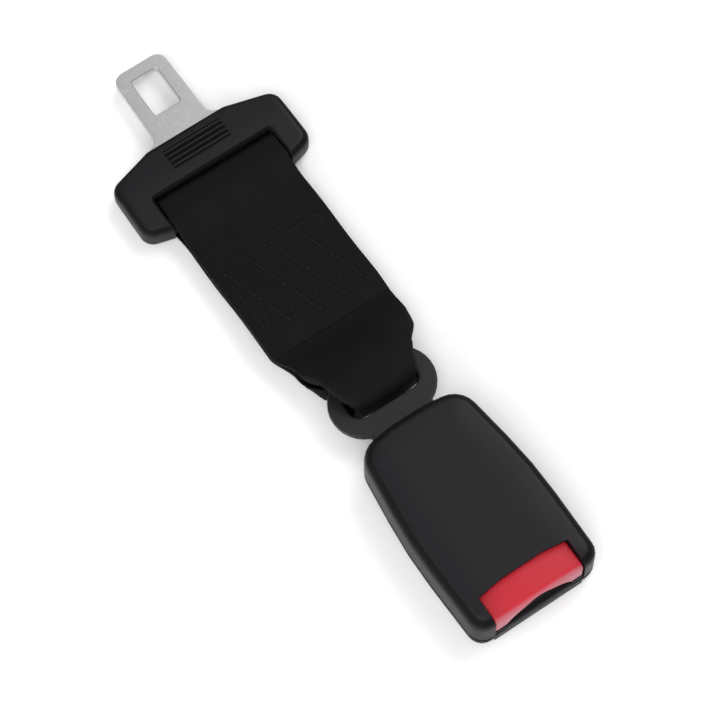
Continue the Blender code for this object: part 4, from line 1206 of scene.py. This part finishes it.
def ring_mesh(name: str, rings: np.ndarray, charts: np.ndarray) -> bpy.types.Mesh:
    """A closed mesh through rings of points, with a UV map.

    Args:
        name: The mesh's name.
        rings: Points, as ring, place in the ring and axis.
        charts: UV places, as ring, place in the ring and axis.

    Returns:
        The mesh, smooth, its first and last rings capped.
    """
    count, size = rings.shape[:2]
    i, j = np.meshgrid(np.arange(count - 1), np.arange(size), indexing="ij")
    here, there, after = i * size, (i + 1) * size, (j + 1) % size
    quads = np.stack([here + j, here + after, there + after, there + j], axis=-1)
    faces = quads.reshape(-1, 4).tolist()
    last = (count - 1) * size
    half = size // 2
    for k in range(half - 1):
        faces.append([k, size - 1 - k, size - 2 - k, k + 1])
        faces.append([last + k + 1, last + size - 2 - k, last + size - 1 - k, last + k])
    mesh = bpy.data.meshes.new(name)
    mesh.from_pydata(rings.reshape(-1, 3).tolist(), [], faces)
    layer = mesh.uv_layers.new(name="weave")
    corners = np.zeros(len(mesh.loops), np.int32)
    mesh.loops.foreach_get("vertex_index", corners)
    layer.data.foreach_set("uv", charts.reshape(-1, 2)[corners].astype(np.float32).ravel())
    shape = bmesh.new()
    shape.from_mesh(mesh)
    bmesh.ops.recalc_face_normals(shape, faces=shape.faces)
    shape.to_mesh(mesh)
    shape.free()
    mesh.shade_smooth()
    return mesh


class Seam(Enum):
    """The runs of sewing on the strap."""

    BOX = "box"
    ZIGZAG = "zigzag"
    BAR = "bar"


@dataclass
class Sewing:
    """Lockstitch through the plies, laid over the upper one."""

    strap: Strap
    half: float = 0.0200
    start: float = 0.0275
    end: float = 0.0590
    bar_gap: float = 0.0032
    teeth: int = 4
    stitch: float = 0.0026
    stitch_ends: tuple[float, float] = (0.12, 0.88)
    gauge: float = 0.00038
    bead_points: int = 5
    bead_sides: int = 6

    def runs(self, seam: Seam) -> list[Points]:
        """The corners of a kind of run.

        Args:
            seam: Which runs.

        Returns:
            One list of (across, along) corners for each run.
        """
        half, start, end = self.half, self.start, self.end
        if seam is Seam.BOX:
            return [[(-half, start), (half, start), (half, end), (-half, end), (-half, start)]]
        if seam is Seam.BAR:
            return [[(-half, end + self.bar_gap), (half, end + self.bar_gap)]]
        xs = np.linspace(-half, half, self.teeth + 1)
        return [[(float(x), turns[k % 2]) for k, x in enumerate(xs)]
                for turns in ((start, end), (end, start))]

    def guide(self) -> bpy.types.Mesh:
        """Lay an edge for every stitch of every run, on the upper ply.

        Returns:
            The mesh of edges.
        """
        points, edges = [], []
        for seam in Seam:
            for corners in self.runs(seam):
                for (x0, a0), (x1, a1) in zip(corners, corners[1:]):
                    count = max(1, round(math.hypot(x1 - x0, a1 - a0) / self.stitch))
                    for k in range(count):
                        edges.append((len(points), len(points) + 1))
                        for end in self.stitch_ends:
                            share = (k + end) / count
                            x, a = x0 + (x1 - x0) * share, a0 + (a1 - a0) * share
                            points.append(self.strap.top_point(a, x))
        mesh = bpy.data.meshes.new("sewing_guide")
        mesh.from_pydata(points, edges, [])
        return mesh

    def tree(self, thread: bpy.types.Material) -> bpy.types.NodeTree:
        """Geometry Nodes that lay one thread bead along every edge.

        Args:
            thread: The thread's material.

        Returns:
            The tree.
        """
        tree = bpy.data.node_groups.new("lay_stitches", "GeometryNodeTree")
        face = tree.interface
        face.new_socket("Geometry", in_out="INPUT", socket_type="NodeSocketGeometry")
        face.new_socket("Gauge", in_out="INPUT", socket_type="NodeSocketFloat")
        face.new_socket("Geometry", in_out="OUTPUT", socket_type="NodeSocketGeometry")

        def add(kind: str, inputs: dict, **settings: object) -> bpy.types.NodeOutputs:
            """Add a node, set it up, and join or set its inputs.

            Args:
                kind: The node's type.
                inputs: Values or other nodes' outputs, by input.
                settings: Its own properties, set before its inputs.

            Returns:
                The node's outputs.
            """
            made = tree.nodes.new(kind)
            for key, value in settings.items():
                setattr(made, key, value)
            for key, value in inputs.items():
                if isinstance(value, bpy.types.NodeSocket):
                    tree.links.new(value, made.inputs[key])
                else:
                    made.inputs[key].default_value = value
            return made.outputs

        entry = add("NodeGroupInput", {})
        curve = add("GeometryNodeMeshToCurve", {"Mesh": entry["Geometry"]})
        even = add("GeometryNodeResampleCurve",
                   {"Count": self.bead_points, "Curve": curve["Curve"]})
        place = add("GeometryNodeSplineParameter", {})
        bow = add("ShaderNodeMath", {0: place["Factor"], 1: 0.5}, operation="PINGPONG")
        rise = add("ShaderNodeMath", {0: bow[0], 1: entry["Gauge"]}, operation="MULTIPLY")
        lift = add("ShaderNodeCombineXYZ", {"Z": rise[0]})
        arch = add("GeometryNodeSetPosition", {"Geometry": even["Curve"], "Offset": lift[0]})
        ring = add("GeometryNodeCurvePrimitiveCircle",
                   {"Resolution": self.bead_sides, "Radius": entry["Gauge"]})
        sweep = add("GeometryNodeCurveToMesh", {"Fill Caps": True, "Curve": arch["Geometry"],
                                                "Profile Curve": ring["Curve"]})
        real = add("GeometryNodeRealizeInstances", {"Geometry": sweep["Mesh"]})
        paint = add("GeometryNodeSetMaterial", {"Material": thread, "Geometry": real["Geometry"]})
        add("NodeGroupOutput", {"Geometry": paint["Geometry"]})
        return tree

    def build(self, palette: Palette) -> bpy.types.Object:
        """Make the stitches as one mesh.

        Args:
            palette: The built materials.

        Returns:
            The stitches.
        """
        source = linked(self.guide())
        nodes = source.modifiers.new("stitches", "NODES")
        nodes.node_group = self.tree(palette.thread)
        gauge = next(s for s in nodes.node_group.interface.items_tree if s.name == "Gauge")
        nodes[gauge.identifier] = self.gauge / 2
        mesh = realised(source, "sewing")
        piece = dressed(linked(mesh), palette.thread)
        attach(piece, Body.STRAP.value)
        LOG.info("sewing: %d faces", len(mesh.polygons))
        return piece


def realised(source: bpy.types.Object, name: str) -> bpy.types.Mesh:
    """The evaluated mesh of an object, which is then removed.

    Args:
        source: The object with its Geometry Nodes.
        name: The new mesh's name.

    Returns:
        A plain mesh.
    """
    bpy.context.view_layer.update()
    graph = bpy.context.evaluated_depsgraph_get()
    mesh = bpy.data.meshes.new_from_object(source.evaluated_get(graph))
    mesh.name = name
    mesh.shade_smooth()
    bpy.data.objects.remove(source, do_unlink=True)
    return mesh


@dataclass
class Tongue:
    """The pressed plate and the grip moulded round it."""

    skins: tuple[Skin, ...] = (
        Skin("tongue_plate", Body.TONGUE, Slot.PLATED_STEEL, edge=0.00015),
        Skin("tongue_cover", Body.TONGUE, Slot.BLACK_PLASTIC, edge=0.0002),
    )

    def build(self, palette: Palette) -> None:
        """Make the tongue's pieces."""
        for skin in self.skins:
            skin.build(palette)


@dataclass
class Buckle:
    """The covers, the button, the anchor plate and the mechanism between them."""

    skins: tuple[Skin, ...] = (
        Skin("anchor_plate", Body.BUCKLE, Slot.COATED_STEEL, edge=0.0004, clamped=False),
        Skin("upper_cover", Body.BUCKLE, Slot.BLACK_PLASTIC, edge=0.0003),
        Skin("lower_cover", Body.BUCKLE, Slot.BLACK_PLASTIC, edge=0.0003),
        Skin("release_button", Body.BUTTON, Slot.RED_PLASTIC, edge=0.0004),
    )
    springs: tuple[Spring, ...] = (
        Spring("button_spring_left", "button_press", ALONG, travel=0.005),
        Spring("button_spring_right", "button_press", ALONG, travel=0.005),
        Spring("ejector_spring", "ejector_slide", ALONG, travel=0.0115),
        Spring("latch_spring", "latch_lift", UP, travel=0.0022),
    )
    inner: tuple[tuple[str, Slot], ...] = (
        ("buckle_frame", Slot.PLATED_STEEL),
        ("latch_plate", Slot.PLATED_STEEL),
        ("latch_pin", Slot.SPRING_STEEL),
        ("spring_bridge", Slot.PLATED_STEEL),
        ("ejector", Slot.WHITE_PLASTIC),
        ("anchor_rivet_left", Slot.PLATED_STEEL),
        ("anchor_rivet_right", Slot.PLATED_STEEL),
    )

    def build(self, palette: Palette) -> None:
        """Make the outer pieces and the springs, and dress the inner nodes.

        Args:
            palette: The built materials.
        """
        for piece in (*self.skins, *self.springs):
            piece.build(palette)
        for node, slot in self.inner:
            dressed(bpy.data.objects[node], palette.materials[slot])
            LOG.info("%s: dressed", node)


@dataclass(frozen=True)
class Light:
    """A square studio light that faces the object, its power in watts."""

    name: str
    place: tuple[float, float, float]
    size: float
    power: float

    def hang(self) -> None:
        """Put the light in the scene."""
        data = bpy.data.lights.new(self.name, "AREA")
        data.size = self.size
        data.energy = self.power
        lamp = bpy.data.objects.new(self.name, data)
        lamp.location = self.place
        lamp.rotation_euler = (-Vector(self.place)).to_track_quat("-Z", "Y").to_euler()
        bpy.context.scene.collection.objects.link(lamp)


@dataclass
class Studio:
    """Floor, lights and the camera that looks as the photograph does."""

    azimuth: float = math.radians(-34.48)
    elevation: float = math.radians(66.95)
    distance: float = 1.122
    lens: float = 163.95
    sensor: float = 36.0
    clip: Limits = (0.05, 20.0)
    aim: tuple[float, float, float] = (0.0015, -0.01555, 0.005)
    floor_size: float = 6.0
    sky: float = 0.42
    lights: tuple[Light, ...] = (
        Light("key", (1.25, 0.35, 1.35), 1.5, 20.0),
        Light("fill", (-0.6, -1.4, 0.8), 1.3, 14.0),
        Light("top", (-0.75, -0.65, 2.0), 1.2, 14.0),
        Light("side", (-1.5, -0.1, 0.42), 0.9, 17.0),
    )

    def back(self) -> Vector:
        """The way from the object to the camera."""
        flat, rise = math.cos(self.elevation), math.sin(self.elevation)
        return Vector((math.sin(self.azimuth) * flat, -math.cos(self.azimuth) * flat, rise))

    def camera(self) -> None:
        """Place the camera."""
        data = bpy.data.cameras.new("camera")
        data.sensor_width = self.sensor
        data.lens = self.lens
        data.clip_start, data.clip_end = self.clip
        camera = bpy.data.objects.new("camera", data)
        camera.location = Vector(self.aim) + self.back() * self.distance
        camera.rotation_euler = (-self.back()).to_track_quat("-Z", "Y").to_euler()
        bpy.context.scene.collection.objects.link(camera)
        bpy.context.scene.camera = camera

    def floor(self) -> None:
        """Lay the floor."""
        half = self.floor_size / 2
        corners = [(-half, -half, 0), (half, -half, 0), (half, half, 0), (-half, half, 0)]
        mesh = bpy.data.meshes.new("floor")
        mesh.from_pydata(corners, [], [(0, 1, 2, 3)])
        floor = dressed(linked(mesh), FLOOR.build())

    def build(self) -> None:
        """Set the studio up."""
        self.floor()
        for light in self.lights:
            light.hang()
        world = bpy.data.worlds.new("studio")
        world.use_nodes = True
        sky = world.node_tree.nodes["Background"]
        sky.inputs["Color"].default_value = (1, 1, 1, 1)
        sky.inputs["Strength"].default_value = self.sky
        bpy.context.scene.world = world
        bpy.context.scene.view_settings.view_transform = "Standard"
        self.camera()


def main() -> None:
    """Build the piece's looks in order."""
    logging.basicConfig(level=logging.INFO, format="%(message)s")
    for item in list(bpy.data.objects):
        bpy.data.objects.remove(item, do_unlink=True)
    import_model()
    palette = Palette.mixed()
    Tongue().build(palette)
    strap = Strap()
    strip = strap.build(palette)
    sewing = Sewing(strap).build(palette)
    Buckle().build(palette)
    Studio().build()


if __name__ == "__main__":
    main()
